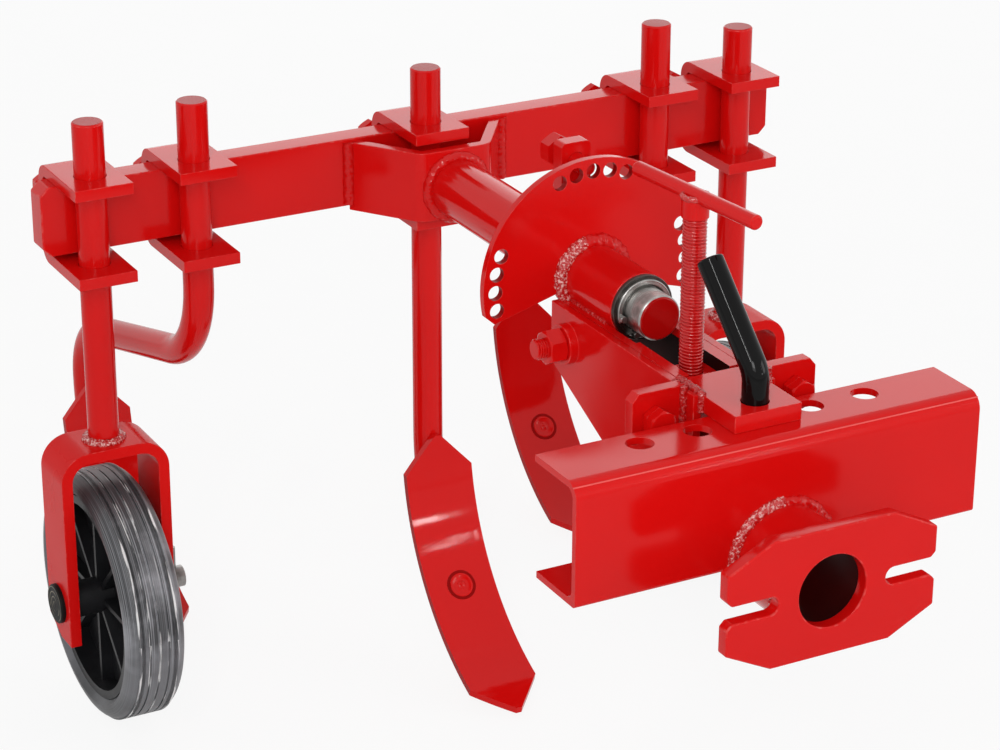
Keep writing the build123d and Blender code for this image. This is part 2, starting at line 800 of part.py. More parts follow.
def tine(x, rise, name, setback, arc_z, turn):
    """Round stem that curves behind a pointed arc blade, and the bolt that joins them."""
    top = clamp_top + tine_stem_top
    arc_y = stem_y + setback - stem_arc
    seat_angle = blade_bolt_angle + stem_foot_angle
    bolt_front = blade_plane(x, arc_y, arc_z, blade_radius, blade_bolt_angle, 1)
    bolt_back = blade_plane(x, arc_y, arc_z, stem_arc + stem_radius + seat_fit, blade_bolt_angle, 1)
    bolt_face = Plane(origin=bolt_front.origin, x_dir=(-1, 0, 0), z_dir=-bolt_front.z_dir)
    place = Pos(x, stem_y, rise - tine_stem_top) * Rot(0, 0, turn) * Pos(-x, -stem_y, 0)

    with BuildPart() as stem:
        with BuildLine(Plane.YZ.offset(x)) as path:
            if setback:
                leg_middle = (stem_y + setback / 2, (tine_elbow_z + tine_leg_z) / 2)
                FilletPolyline((stem_y, top), (stem_y, tine_elbow_z), leg_middle, radius=tine_bend)
                shank = FilletPolyline(leg_middle, (stem_y + setback, tine_leg_z), (stem_y + setback, arc_z),
                                       radius=tine_rear_bend)
            else:
                shank = Line((stem_y, top), (stem_y, arc_z))
            JernArc(shank @ 1, (0, -1), stem_arc, -seat_angle)
        with BuildSketch(Plane.XY.offset(top)):
            with Locations((x, stem_y)):
                Circle(stem_radius)
        sweep(path=path.line)
        chamfer(edges().group_by(Axis.Z)[-1], stem_chamfer)
        with BuildSketch(bolt_front):
            Circle(blade_bolt_diameter / 2 + stem_fit)
        extrude(amount=blade_thickness + 2 * stem_diameter, mode=Mode.SUBTRACT)
    save(stem.part.moved(place), f"{name}_stem")

    with BuildPart() as blade:
        with BuildSketch(Plane.YZ.offset(x)):
            with BuildLine():
                front = CenterArc((arc_y, arc_z), blade_radius, 0, -blade_sweep)
                back = CenterArc((arc_y, arc_z), blade_radius + blade_thickness, 0, -blade_sweep)
                Line(front @ 0, back @ 0)
                Line(front @ 1, back @ 1)
            make_face()
        extrude(amount=blade_width / 2, both=True)
        for angle, x_sign in ((0, -1), (blade_sweep, 1)):
            with BuildSketch(blade_plane(x, arc_y, arc_z, blade_radius, angle, x_sign)):
                for side in (-1, 1):
                    with BuildLine():
                        Polyline(
                            (side * blade_tip_width / 2, 0),
                            (side * blade_width / 2, -blade_point_length),
                            (side * blade_width, -blade_point_length),
                            (side * blade_width, blade_point_length),
                            (side * blade_tip_width / 2, blade_point_length),
                            close=True,
                        )
                    make_face()
            extrude(amount=2 * blade_thickness, both=True, mode=Mode.SUBTRACT)
        with Locations(bolt_face):
            CounterSinkHole(blade_bolt_diameter / 2 + stem_fit, blade_bolt_head / 2 + stem_fit,
                            2 * blade_thickness, 90)
    save(blade.part.moved(place), f"{name}_blade")

    grip = stem_arc + stem_radius + seat_fit - blade_radius
    with BuildPart() as blade_bolt:
        with Locations(bolt_face.offset(-blade_bolt_sink / 2)):
            Cone(blade_bolt_head / 2 - blade_bolt_sink, blade_bolt_head / 2, blade_bolt_sink)
        with BuildSketch(bolt_face):
            Circle(blade_bolt_diameter / 2)
        extrude(amount=-(grip + blade_nut_height + blade_bolt_tail))
        add(hex_nut(bolt_back, blade_bolt_diameter, blade_nut_flats, blade_nut_height))
    save(blade_bolt.part.moved(place), f"{name}_blade_bolt")


def depth_wheel(x, rise, drop, name, outward):
    """Fork on a round stem, with a ribbed wheel on a capped axle."""
    crown = fork_crown - drop
    hub_z = axle_z - drop
    with BuildPart() as stem:
        with BuildSketch(Plane.XY.offset(crown)):
            with Locations((x, stem_y)):
                Circle(stem_radius)
        extrude(amount=clamp_top + rise - crown)
        chamfer(edges().group_by(Axis.Z)[-1], stem_chamfer)
    save(stem.part, f"{name}_stem")

    fork_foot = crown - fork_leg
    with BuildPart() as fork:
        with BuildSketch(across(stem_y)):
            with Locations((x, crown - fork_leg / 2)):
                Rectangle(fork_width, fork_leg)
            fillet(vertices().group_by(Axis.Y)[-1], fork_bend)
            with Locations((x, fork_foot)):
                RectangleRounded(fork_gap, 2 * (fork_leg - fork_thickness), fork_bend - fork_thickness,
                                 mode=Mode.SUBTRACT)
        extrude(amount=fork_depth / 2, both=True)
        with BuildSketch(Plane.YZ.offset(x)):
            with BuildLine():
                Polyline(
                    (stem_y + fork_depth / 2, fork_foot + fork_clip_height),
                    (stem_y + fork_depth / 2 - fork_clip_depth, fork_foot),
                    (stem_y + fork_depth / 2, fork_foot),
                    close=True,
                )
            make_face()
            with Locations((stem_y, hub_z)):
                Circle(axle_diameter / 2 + stem_fit)
        extrude(amount=fork_width, both=True, mode=Mode.SUBTRACT)
    save(fork.part, f"{name}_fork")

    cap_plane = Plane(origin=(x + outward * fork_width / 2, stem_y, hub_z), x_dir=(0, 1, 0),
                      z_dir=(outward, 0, 0))
    with BuildPart() as axle:
        with BuildSketch(cap_plane):
            Circle(axle_cap_diameter / 2)
        extrude(amount=axle_cap)
        fillet(edges().group_by(Axis.X)[0 if outward < 0 else -1], axle_cap_round)
        with BuildSketch(cap_plane):
            Circle(axle_diameter / 2)
        extrude(amount=-(fork_width + axle_tail))
        tail_x = x - outward * (fork_width + axle_tail) / 2
        with BuildSketch(Plane.XY.offset(hub_z - cotter_length / 2)):
            with Locations((tail_x, stem_y)):
                Circle(cotter_diameter / 2)
        extrude(amount=cotter_length)
    save(axle.part, f"{name}_axle")

    wheel_axis = Axis((x, stem_y, hub_z), (1, 0, 0))
    section = Plane(origin=(x, stem_y, hub_z), x_dir=(1, 0, 0), z_dir=(0, 0, 1))
    tread = wheel_diameter / 2
    bead = rim_diameter / 2
    with BuildPart() as tyre:
        with BuildSketch(section):
            with Locations((0, (tread + bead) / 2)):
                Rectangle(tyre_width, tread - bead)
            fillet(vertices().group_by(Axis.Y)[-1], tyre_shoulder)
            chamfer(vertices().group_by(Axis.Y)[0], tyre_bead)
            with Locations((0, tread)):
                with GridLocations(tread_groove_pitch, 1, tread_groove_count, 1):
                    Rectangle(tread_groove, 2 * tread_groove_depth, mode=Mode.SUBTRACT)
        revolve(axis=wheel_axis)
    save(tyre.part, f"{name}_tyre")

    hub_width = fork_gap - 2 * face_gap
    ring_middle = bead - seat_fit - rim_wall / 2
    with BuildPart() as rim:
        with BuildSketch(section):
            with Locations((0, (axle_diameter + hub_diameter) / 4 + running_fit / 2)):
                Rectangle(hub_width, (hub_diameter - axle_diameter) / 2 - running_fit)
            with Locations((0, (hub_diameter / 2 + ring_middle) / 2)):
                Rectangle(rim_web, ring_middle - hub_diameter / 2 + seat_fit)
            with Locations((0, ring_middle)):
                Rectangle(rim_width, rim_wall)
        revolve(axis=wheel_axis)
        with BuildSketch(Plane(origin=(x, stem_y, hub_z), x_dir=(0, 1, 0), z_dir=(1, 0, 0))):
            with PolarLocations((hub_diameter / 2 + ring_middle) / 2 - seat_fit, rib_count):
                Rectangle(ring_middle - hub_diameter / 2 + seat_fit, rib_thickness)
        extrude(amount=rib_height / 2, both=True)
    save(rim.part, f"{name}_rim")


for x, name in ((left_wheel_x, "left_wheel"), (left_tine_x, "left_tine"), (centre_tine_x, "centre_tine"),
                (right_tine_x, "right_tine"), (right_wheel_x, "right_wheel")):
    clamp(x, name)

tine(left_tine_x, left_tine_top, "left_tine", tine_setback, side_arc_z, tine_splay)
tine(centre_tine_x, centre_tine_top, "centre_tine", 0, centre_arc_z, 0)
tine(right_tine_x, right_tine_top, "right_tine", tine_setback, side_arc_z, -tine_splay)
depth_wheel(left_wheel_x, left_wheel_top, left_wheel_drop, "left_wheel", -1)
depth_wheel(right_wheel_x, right_wheel_top, right_wheel_drop, "right_wheel", 1)
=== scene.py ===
"""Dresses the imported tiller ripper: gloss paint, bare steel, rubber, weld beads and screw threads.

Everything is in metres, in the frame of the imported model: +Y runs rearwards from the hitch flange, +Z is up.
"""

import json
import logging
import math
from dataclasses import dataclass, field
from enum import Enum
from typing import Callable, Optional, Sequence

import bmesh
import bpy
from mathutils import Matrix, Vector

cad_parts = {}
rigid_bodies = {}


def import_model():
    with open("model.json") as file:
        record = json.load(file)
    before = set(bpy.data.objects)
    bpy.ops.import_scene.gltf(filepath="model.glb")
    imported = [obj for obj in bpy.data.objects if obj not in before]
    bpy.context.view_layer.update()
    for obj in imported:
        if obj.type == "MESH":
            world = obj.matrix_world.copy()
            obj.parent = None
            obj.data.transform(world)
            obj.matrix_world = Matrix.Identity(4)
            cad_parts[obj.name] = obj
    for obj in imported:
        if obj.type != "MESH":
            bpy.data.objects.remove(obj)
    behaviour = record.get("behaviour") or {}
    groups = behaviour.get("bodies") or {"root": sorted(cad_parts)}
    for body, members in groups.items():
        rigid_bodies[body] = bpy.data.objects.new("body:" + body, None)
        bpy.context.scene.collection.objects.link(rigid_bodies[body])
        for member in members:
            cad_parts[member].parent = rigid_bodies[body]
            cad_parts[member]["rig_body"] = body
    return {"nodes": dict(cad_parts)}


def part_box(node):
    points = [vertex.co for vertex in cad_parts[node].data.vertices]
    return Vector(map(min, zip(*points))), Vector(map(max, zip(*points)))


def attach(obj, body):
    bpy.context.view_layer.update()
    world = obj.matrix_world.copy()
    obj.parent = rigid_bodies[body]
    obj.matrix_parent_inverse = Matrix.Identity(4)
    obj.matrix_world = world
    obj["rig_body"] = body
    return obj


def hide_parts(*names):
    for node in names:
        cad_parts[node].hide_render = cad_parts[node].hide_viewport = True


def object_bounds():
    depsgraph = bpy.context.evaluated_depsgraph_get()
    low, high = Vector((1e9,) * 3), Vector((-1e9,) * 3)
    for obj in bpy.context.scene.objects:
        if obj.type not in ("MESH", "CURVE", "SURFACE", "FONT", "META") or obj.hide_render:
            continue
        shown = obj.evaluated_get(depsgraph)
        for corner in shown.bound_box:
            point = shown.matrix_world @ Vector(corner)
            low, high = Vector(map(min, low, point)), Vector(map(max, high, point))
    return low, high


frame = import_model()
CAD_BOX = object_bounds()
RIGHT, REAR, UP = Vector((1, 0, 0)), Vector((0, 1, 0)), Vector((0, 0, 1))
# Angles from which an edge is shaded as sharp and from which it is rounded, and up to which faces are flat.
SHARP_ANGLE, BEVEL_ANGLE, FLAT_ANGLE = math.radians(28), math.radians(32), math.radians(0.4)
# Points of a new mesh and of a CAD mesh that lie nearer than this are one point.
MERGE, CAD_MERGE = 1e-6, 2e-6
# How far a bead's middle lies off the surface that it runs along, and a face's middle off where it is sought.
WELD_TOE, FACE_SLACK = 0.001, 0.0002
log = logging.getLogger("tiller_ripper")

Colour = tuple[float, float, float]
Socket = bpy.types.NodeSocket
Node = bpy.types.Node
Material = bpy.types.Material
Mesh = bpy.types.Mesh
Piece = bpy.types.Object
Profile = Sequence[tuple[float, float]]
Paths = Sequence[tuple[Sequence[Vector], bool]]


class Side(Enum):
    """Left and right of the implement, looking rearwards, as a sign along X."""

    LEFT = -1
    RIGHT = 1


class Line(Enum):
    """A direction of the frame that turned metal or a wheel is centred on."""

    X = 0
    Y = 1
    Z = 2


def plug(socket: Socket, value: object) -> None:
    """Link an input to another node's output, or set it to a plain value.

    Args:
        socket: the input.
        value: the other node's output, or the value.
    """
    if isinstance(value, Socket):
        socket.id_data.links.new(value, socket)
    else:
        socket.default_value = value


class NodePad:
    """A node tree in the making, with short calls to add nodes and link them."""

    def __init__(self, tree: bpy.types.NodeTree, prefix: str) -> None:
        """Work on a tree whose own nodes have type names that start with the prefix."""
        self.tree = tree
        self.prefix = prefix

    def add(self, kind: str, settings: Optional[dict[str, object]] = None, **sockets: object) -> Node:
        """Add a node and feed its inputs.

        Args:
            kind: the node's type name, after the tree's prefix, or a full type name.
            settings: its properties, by name.
            sockets: value or output socket for each input, by the input's name with _ for a space.

        Returns:
            The new node.
        """
        whole = kind.startswith(("ShaderNode", "FunctionNode"))
        node = self.tree.nodes.new(kind if whole else f"{self.prefix}{kind}")
        for name, value in (settings or {}).items():
            setattr(node, name, value)
        self.feed(node, **sockets)
        return node

    def feed(self, node: Node, **sockets: object) -> None:
        """Set or link a node's inputs.

        Args:
            node: the node to feed.
            sockets: value or output socket for each input, by the input's name with _ for a space.
        """
        for name, value in sockets.items():
            plain = name.replace("_", " ")
            plug(next(s for s in node.inputs if s.name == plain and s.enabled), value)

    def sum(self, operation: str, first: object, second: object = 0.0) -> Socket:
        """One step of arithmetic.

        Args:
            operation: the Math node's operation.
            first: its first number or socket.
            second: its second number or socket.

        Returns:
            The result's socket.
        """
        node = self.add("ShaderNodeMath", {"operation": operation})
        for socket, value in zip(node.inputs, (first, second)):
            plug(socket, value)
        return node.outputs[0]


class ShaderPad(NodePad):
    """The nodes of a material or of the world."""

    def __init__(self, tree: bpy.types.NodeTree) -> None:
        """Work on a shader tree."""
        super().__init__(tree, "ShaderNode")

    def spread(self, value: Socket, low: float, high: float, start: float = 0.3, stop: float = 0.7) -> Socket:
        """Stretch a number from start..stop onto low..high.

        Args:
            value: the number's socket.
            low: what start becomes.
            high: what stop becomes.
            start: one end of the incoming range.
            stop: its other end.

        Returns:
            The stretched number's socket.
        """
        node = self.add("MapRange", Value=value, From_Min=start, From_Max=stop, To_Min=low, To_Max=high)
        return node.outputs["Result"]


class MaterialPad(ShaderPad):
    """The nodes of a new material, with short calls for the patterns that the finishes share."""

    def __init__(self, name: str) -> None:
        """Start a material with a Principled shader and its output.

        Args:
            name: the material's name.
        """
        self.material = bpy.data.materials.new(name)
        self.material.use_nodes = True
        super().__init__(self.material.node_tree)
        self.shader = self.tree.nodes["Principled BSDF"]
        self.place = self.add("TexCoord").outputs["Object"]

    def noise(self, scale: float, detail: float, place: Optional[Socket] = None) -> Socket:
        """Cloudy noise, as a number about one half.

        Args:
            scale: how many lumps there are in a metre.
            detail: how many finer layers lie on them.
            place: the coordinates, or None for the piece's own.

        Returns:
            The noise's output socket.
        """
        node = self.add("TexNoise", Vector=place or self.place, Scale=scale, Detail=detail)
        return node.outputs["Fac"]

    def rings(self, along: Socket, radius: Socket, scale: float, detail: float) -> Socket:
        """Uneven fine rings about a line, as a number about one half.

        Args:
            along: distance along the line.
            radius: distance from the line.
            scale: how many rings there are in a metre.
            detail: how many finer layers lie on them.

        Returns:
            The rings' output socket.
        """
        node = self.add("TexNoise", {"noise_dimensions": "1D"}, W=self.sum("ADD", along, radius), Scale=scale,
                        Detail=detail)
        return node.outputs["Fac"]

    def mix(self, share: Socket, first: object, second: object) -> Socket:
        """Blend two colours.

        Args:
            share: how much of the second one shows.
            first: colour or socket.
            second: colour or socket.

        Returns:
            The blended colour's socket.
        """
        node = self.add("Mix", {"data_type": "RGBA"}, Factor=share)
        for socket, value in zip((node.inputs[6], node.inputs[7]), (first, second)):
            plug(socket, value if isinstance(value, Socket) else (*value, 1.0))
        return node.outputs[2]

    def bump(self, height: Socket, strength: float, depth: float, under: Optional[Socket] = None) -> Socket:
        """Raise the surface by a height map.

        Args:
            height: the map's socket.
            strength: how much of it shows.
            depth: its full height in metres.
            under: a coarser normal that it lies on, or None.

        Returns:
            The new normal's socket.
        """
        node = self.add("Bump", Height=height, Strength=strength, Distance=depth)
        if under:
            plug(node.inputs["Normal"], under)
        return node.outputs["Normal"]

    def round_place(self, centre: Vector, line: Line) -> tuple[Socket, ...]:
        """Coordinates about a line: how far along it, how far from it, and the angle round it.

        Args:
            centre: a point on the line.
            line: the line's direction.

        Returns:
            Sockets for the distance along, the radius and the angle in radians.
        """
        move = self.add("VectorMath", {"operation": "SUBTRACT"})
        for socket, value in zip(move.inputs, (self.place, centre)):
            plug(socket, value)
        apart = self.add("SeparateXYZ", Vector=move.outputs[0])
        first, second = (apart.outputs[i] for i in range(3) if i != line.value)
        square = self.sum("ADD", self.sum("MULTIPLY", first, first), self.sum("MULTIPLY", second, second))
        return apart.outputs[line.value], self.sum("SQRT", square), self.sum("ARCTAN2", second, first)


@dataclass(frozen=True)
class EnamelPaint:
    """Sprayed gloss enamel: a slow drift of tone, a fine orange peel, and pale spots, which are paint rubbed
    thin where handled and painted glints of light on edges and welds.

    The scales are counts in a metre: of ripples, pale spots, patches of tone, dust nibs, patches of sheen.
    roughness is the lowest and highest, peel_depth the ripples' height, and wear_and_glint how far the pale
    spots spread, from 0 to 1.
    """

    name: str
    colour: Colour
    shade: Colour
    roughness: tuple[float, float] = (0.10, 0.18)
    peel_scale: float = 800.0
    peel_depth: float = 0.0002
    peel_strength: float = 0.05
    gloss: float = 0.19
    wear_and_glint: float = 0.0
    wear_and_glint_colour: Colour = (0.72, 0.24, 0.21)
    wear_and_glint_scale: float = 160.0
    drift_scale: float = 6.0
    nib_scale: float = 60.0
    nib_depth: float = 0.0002
    nib_strength: float = 0.08
    sheen_scale: float = 18.0

    def material(self) -> Material:
        """Make the paint's material.

        Returns:
            The material.
        """
        pad = MaterialPad(self.name)
        drift = pad.spread(pad.noise(self.drift_scale, 2.0), 0.0, 1.0)
        colour = pad.mix(drift, self.colour, self.shade)
        # Pale spots: paint rubbed thin on handled edges, and painted glints standing for light caught on edges
        # and welds.
        if self.wear_and_glint:
            thin = pad.spread(pad.noise(self.wear_and_glint_scale, 5.0), 0.0, self.wear_and_glint, 0.50, 0.66)
            colour = pad.mix(thin, colour, self.wear_and_glint_colour)
        specks = pad.add("TexVoronoi", Vector=pad.place, Scale=self.nib_scale, Randomness=1.0)
        nib = pad.spread(specks.outputs["Distance"], 1.0, 0.0, 0.03, 0.09)
        peel = pad.bump(pad.noise(self.peel_scale, 1.5), self.peel_strength, self.peel_depth)
        normal = pad.bump(nib, self.nib_strength, self.nib_depth, peel)
        rough = pad.spread(pad.noise(self.sheen_scale, 3.0), *self.roughness)
        pad.feed(pad.shader, Base_Color=colour, Roughness=rough, Normal=normal, Specular_IOR_Level=self.gloss)
        return pad.material


@dataclass(frozen=True)
class TurnedSteel:
    """Bare steel with lathe marks round a line, and the dull stains of cutting oil.

    marks and stain_scale are counts in a metre, mark_depth is the marks' depth, and dulling how much rougher
    the steel is where it is stained.
    """

    name: str
    centre: Vector
    line: Line
    colour: Colour = (0.44, 0.43, 0.415)
    stain: Colour = (0.13, 0.122, 0.115)
    roughness: tuple[float, float] = (0.20, 0.42)
    marks: float = 1500.0
    mark_depth: float = 0.0002
    stain_scale: float = 70.0
    dulling: float = 0.14

    def material(self) -> Material:
        """Make the steel's material.

        Returns:
            The material.
        """
        pad = MaterialPad(self.name)
        along, radius, _ = pad.round_place(self.centre, self.line)
        grooves = pad.rings(along, radius, self.marks, 2.0)
        stain = pad.spread(pad.noise(self.stain_scale, 5.0), 0.0, 0.9, 0.42, 0.68)
        dull = pad.sum("MULTIPLY", stain, self.dulling)
        pad.feed(pad.shader, Base_Color=pad.mix(stain, self.colour, self.stain), Metallic=1.0,
                 Roughness=pad.sum("ADD", pad.spread(grooves, *self.roughness), dull),
                 Normal=pad.bump(grooves, 0.25, self.mark_depth))
        return pad.material


@dataclass(frozen=True)
class TyreRubber:
    """Grey solid rubber: fine moulding lines round the tread, pale streaks along its ribs' edges, which are
    scuffs and painted glints, and a painted sheen on the part turned towards the light.

    sheen_at is the painted sheen's angle round the axle in degrees, clean how much of the pale dust and
    moulding lines the rest keeps. lines and dust_scale are counts in a metre, streaks how often a pale
    streak breaks off along the tread and across it, rib_edge a streak's reach from a rib's edge, and tread
    the radii at which the tread begins.
    """

    name: str
    centre: Vector
    colour: Colour = (0.042, 0.043, 0.046)
    worn_and_sheen: Colour = (0.50, 0.505, 0.54)
    sheen_at: float = 148.0
    clean: float = 0.22
    scuff_and_glint: Colour = (0.74, 0.74, 0.74)
    lines: float = 700.0
    line_depth: float = 0.0003
    streaks: tuple[float, float] = (2.6, 420.0)
    rib_pitch: float = 0.008
    rib_edge: tuple[float, float] = (0.0009, 0.0014)
    tread: tuple[float, float] = (0.0985, 0.1022)
    dust_scale: float = 13.0
    roughness: tuple[float, float] = (0.36, 0.56)
    gloss: float = 0.34

    def material(self) -> Material:
        """Make the rubber's material.

        Returns:
            The material.
        """
        pad = MaterialPad(self.name)
        across, radius, angle = pad.round_place(self.centre, Line.X)
        fine = pad.rings(across, radius, self.lines, 3.0)
        # Pale streaks on the ribs' edges: scuffs, and painted glints where the edges catch light.
        long, narrow = self.streaks
        sweep = pad.add("CombineXYZ", X=pad.sum("MULTIPLY", angle, long),
                        Y=pad.sum("MULTIPLY", across, narrow))
        streak = pad.spread(pad.noise(1.0, 4.0, sweep.outputs[0]), 0.0, 1.0, 0.53, 0.60)
        rib = pad.spread(pad.sum("PINGPONG", across, self.rib_pitch / 2), 1.0, 0.0, *self.rib_edge)
        tread = pad.spread(radius, 0.0, 1.0, *self.tread)
        line = pad.sum("MULTIPLY", streak, pad.sum("MULTIPLY", rib, tread))
        # Painted sheen: the pale dust and moulding lines show fully round one angle, on the side turned to the
        # light, and fade to the clean share elsewhere.
        turned = pad.sum("COSINE", pad.sum("SUBTRACT", angle, math.radians(self.sheen_at)))
        painted_sheen = pad.spread(turned, self.clean, 1.0, 0.68, 0.97)
        spots = pad.spread(pad.noise(self.dust_scale, 7.0), 0.0, 1.0, 0.40, 0.60)
        dust = pad.sum("MULTIPLY", spots, painted_sheen)
        lit_stripe = pad.sum("MULTIPLY", pad.spread(fine, 0.0, 0.5, 0.45, 0.75), painted_sheen)
        striped = pad.mix(lit_stripe, pad.mix(dust, self.colour, self.worn_and_sheen), self.worn_and_sheen)
        pad.feed(pad.shader, Base_Color=pad.mix(line, striped, self.scuff_and_glint), Specular_IOR_Level=self.gloss,
                 Roughness=pad.spread(dust, *self.roughness, 0, 1),
                 Normal=pad.bump(fine, 0.16, self.line_depth))
        return pad.material


@dataclass(frozen=True)
class MouldedPlastic:
    """Black moulded plastic with a fine spark texture and the shine of handled ribs.

    The scales are counts in a metre: of patches of dust and of sheen, and of the texture's pits.
    """

    name: str
    colour: Colour = (0.006, 0.006, 0.007)
    grey: Colour = (0.014, 0.014, 0.016)
    roughness: tuple[float, float] = (0.34, 0.52)
    gloss: float = 0.3
    dust_scale: float = 38.0
    sheen_scale: float = 24.0
    spark_scale: float = 1400.0
    spark_depth: float = 0.0003

    def material(self) -> Material:
        """Make the plastic's material.

        Returns:
            The material.
        """
        pad = MaterialPad(self.name)
        dust = pad.spread(pad.noise(self.dust_scale, 5.0), 0.0, 1.0, 0.4, 0.75)
        pad.feed(pad.shader, Base_Color=pad.mix(dust, self.colour, self.grey), Specular_IOR_Level=self.gloss,
                 Roughness=pad.spread(pad.noise(self.sheen_scale, 3.0), *self.roughness),
                 Normal=pad.bump(pad.noise(self.spark_scale, 2.0), 0.18, self.spark_depth))
        return pad.material


@dataclass(frozen=True)
class CapPlastic:
    """Black moulded axle cap: rings pressed round its middle, with pale brown on their crests, which is dust
    and a painted highlight where the raised rings catch light.

    pitch is the distance between two rings, crest the shares of it between which a ring rises, and the scales
    are counts in a metre, of patches of dust and of sheen.
    """

    name: str
    centre: Vector
    colour: Colour = (0.004, 0.004, 0.004)
    dust: Colour = (0.26, 0.23, 0.17)
    pitch: float = 0.0042
    crest: tuple[float, float] = (0.36, 0.46)
    ring_depth: float = 0.0008
    dust_scale: float = 90.0
    sheen_scale: float = 30.0
    roughness: tuple[float, float] = (0.40, 0.58)
    gloss: float = 0.12

    def material(self) -> Material:
        """Make the cap's material.

        Returns:
            The material.
        """
        pad = MaterialPad(self.name)
        _, radius, _ = pad.round_place(self.centre, Line.X)
        wave = pad.sum("PINGPONG", radius, self.pitch / 2)
        crest = pad.spread(wave, 0.0, 1.0, *(self.pitch * share for share in self.crest))
        # Pale brown on the crests: dust, and a painted highlight where the raised rings catch light.
        patch = pad.spread(pad.noise(self.dust_scale, 4.0), 0.0, 1.0, 0.42, 0.56)
        pad.feed(pad.shader, Base_Color=pad.mix(pad.sum("MULTIPLY", crest, patch), self.colour, self.dust),
                 Roughness=pad.spread(pad.noise(self.sheen_scale, 3.0), *self.roughness),
                 Specular_IOR_Level=self.gloss, Normal=pad.bump(crest, 0.7, self.ring_depth))
        return pad.material


class NodeTree(NodePad):
    """A Geometry Nodes tree with named inputs."""

    def __init__(self, name: str) -> None:
        """Start a tree that takes and gives one geometry.

        Args:
            name: the tree's name.
        """
        super().__init__(bpy.data.node_groups.new(name, "GeometryNodeTree"), "GeometryNode")
        for way in ("INPUT", "OUTPUT"):
            self.tree.interface.new_socket("Geometry", in_out=way, socket_type="NodeSocketGeometry")
        self.entry = self.tree.nodes.new("NodeGroupInput")
        self.names: dict[str, str] = {}

    def input(self, name: str, kind: str, value: object = None) -> Socket:
        """Declare a named input.

        Args:
            name: the input's name.
            kind: the socket's type name, after NodeSocket.
            value: its default, or None.

        Returns:
            The socket that gives it inside the tree.
        """
        socket = self.tree.interface.new_socket(name, in_out="INPUT", socket_type=f"NodeSocket{kind}")
        if value is not None:
            socket.default_value = value
        self.names[name] = socket.identifier
        return self.entry.outputs[name]

    def close(self, mesh: Socket) -> None:
        """Realize what was made, give it the tree's material and end the tree.

        Args:
            mesh: the socket that gives what was made.
        """
        whole = self.add("RealizeInstances", Geometry=mesh)
        smooth = self.add("SetShadeSmooth", Geometry=whole.outputs["Geometry"])
        finish = self.input("Finish", "Material")
        painted = self.add("SetMaterial", Geometry=smooth.outputs["Geometry"], Material=finish)
        plug(self.tree.nodes.new("NodeGroupOutput").inputs["Geometry"], painted.outputs["Geometry"])

    def grow(self, name: str, seed: Mesh, **values: object) -> Mesh:
        """Run the tree on a mesh and keep the result as a plain mesh.

        Args:
            name: name of the mesh that comes out.
            seed: the mesh that goes in.
            values: the tree's inputs, by name.

        Returns:
            The mesh that the tree made.
        """
        host = bpy.data.objects.new(f"{name}_host", seed)
        bpy.context.scene.collection.objects.link(host)
        modifier = host.modifiers.new("tree", "NODES")
        modifier.node_group = self.tree
        for label, value in values.items():
            modifier[self.names[label]] = value
        depsgraph = bpy.context.evaluated_depsgraph_get()
        mesh = bpy.data.meshes.new_from_object(host.evaluated_get(depsgraph))
        mesh.name = name
        host.modifiers.remove(modifier)
        bpy.data.objects.remove(host)
        return mesh


def weld_tree(step: float = 0.09, sides: int = 22, wave_height: float = 0.03,
              lump_scale: float = 270.0) -> NodeTree:
    """Weld bead: a round run along a path, rippled by the torch's passes and left grainy.

    Args:
        step: distance between two rings of the bead's mesh, as a share of its width.
        sides: how many flats a ring has.
        wave_height: the ripples' height, as a share of the grain's.
        lump_scale: how many lumps of grain there are in a metre.

    Returns:
        The tree.
    """
    tree = NodeTree("weld_bead")
    width = tree.input("Width", "Float", 0.008)
    ripple = tree.input("Ripple", "Float", 0.003)
    grain = tree.input("Grain", "Float", 0.002)
    seed = tree.input("Seed", "Float", 1.0)
    path = tree.add("MeshToCurve", Mesh=tree.entry.outputs["Geometry"])
    steps = tree.add("ResampleCurve", {"mode": "LENGTH"}, Curve=path.outputs["Curve"],
                     Length=tree.sum("MULTIPLY", width, step))
    reach = tree.add("SplineParameter")
    measured = tree.add("StoreNamedAttribute", {"data_type": "FLOAT", "domain": "POINT"},
                        Geometry=steps.outputs["Curve"], Name="reach", Value=reach.outputs["Length"])
    section = tree.add("CurvePrimitiveCircle", {"mode": "RADIUS"}, Resolution=sides,
                       Radius=tree.sum("MULTIPLY", width, 0.5))
    run = tree.add("CurveToMesh", Curve=measured.outputs["Geometry"], Profile_Curve=section.outputs["Curve"],
                   Fill_Caps=True)
    along = tree.add("InputNamedAttribute", {"data_type": "FLOAT"}, Name="reach")
    turns = tree.sum("DIVIDE", along.outputs["Attribute"], ripple)
    wave = tree.sum("MULTIPLY", tree.sum("SINE", tree.sum("MULTIPLY", turns, math.tau)), wave_height)
    place = tree.add("InputPosition")
    cloud = tree.add("ShaderNodeTexNoise", {"noise_dimensions": "4D"}, Vector=place.outputs["Position"],
                     W=seed, Scale=lump_scale, Detail=4.0, Roughness=0.65)
    lumps = tree.sum("SUBTRACT", cloud.outputs["Fac"], 0.5)
    height = tree.sum("MULTIPLY", tree.sum("ADD", lumps, wave), grain)
    move = tree.add("ShaderNodeVectorMath", {"operation": "SCALE"}, Scale=height)
    plug(move.inputs[0], tree.add("InputNormal").outputs["Normal"])
    rough = tree.add("SetPosition", Geometry=run.outputs["Mesh"], Offset=move.outputs["Vector"])
    clean = tree.add("RemoveAttribute", Geometry=rough.outputs["Geometry"], Name="reach")
    tree.close(clean.outputs["Geometry"])
    return tree


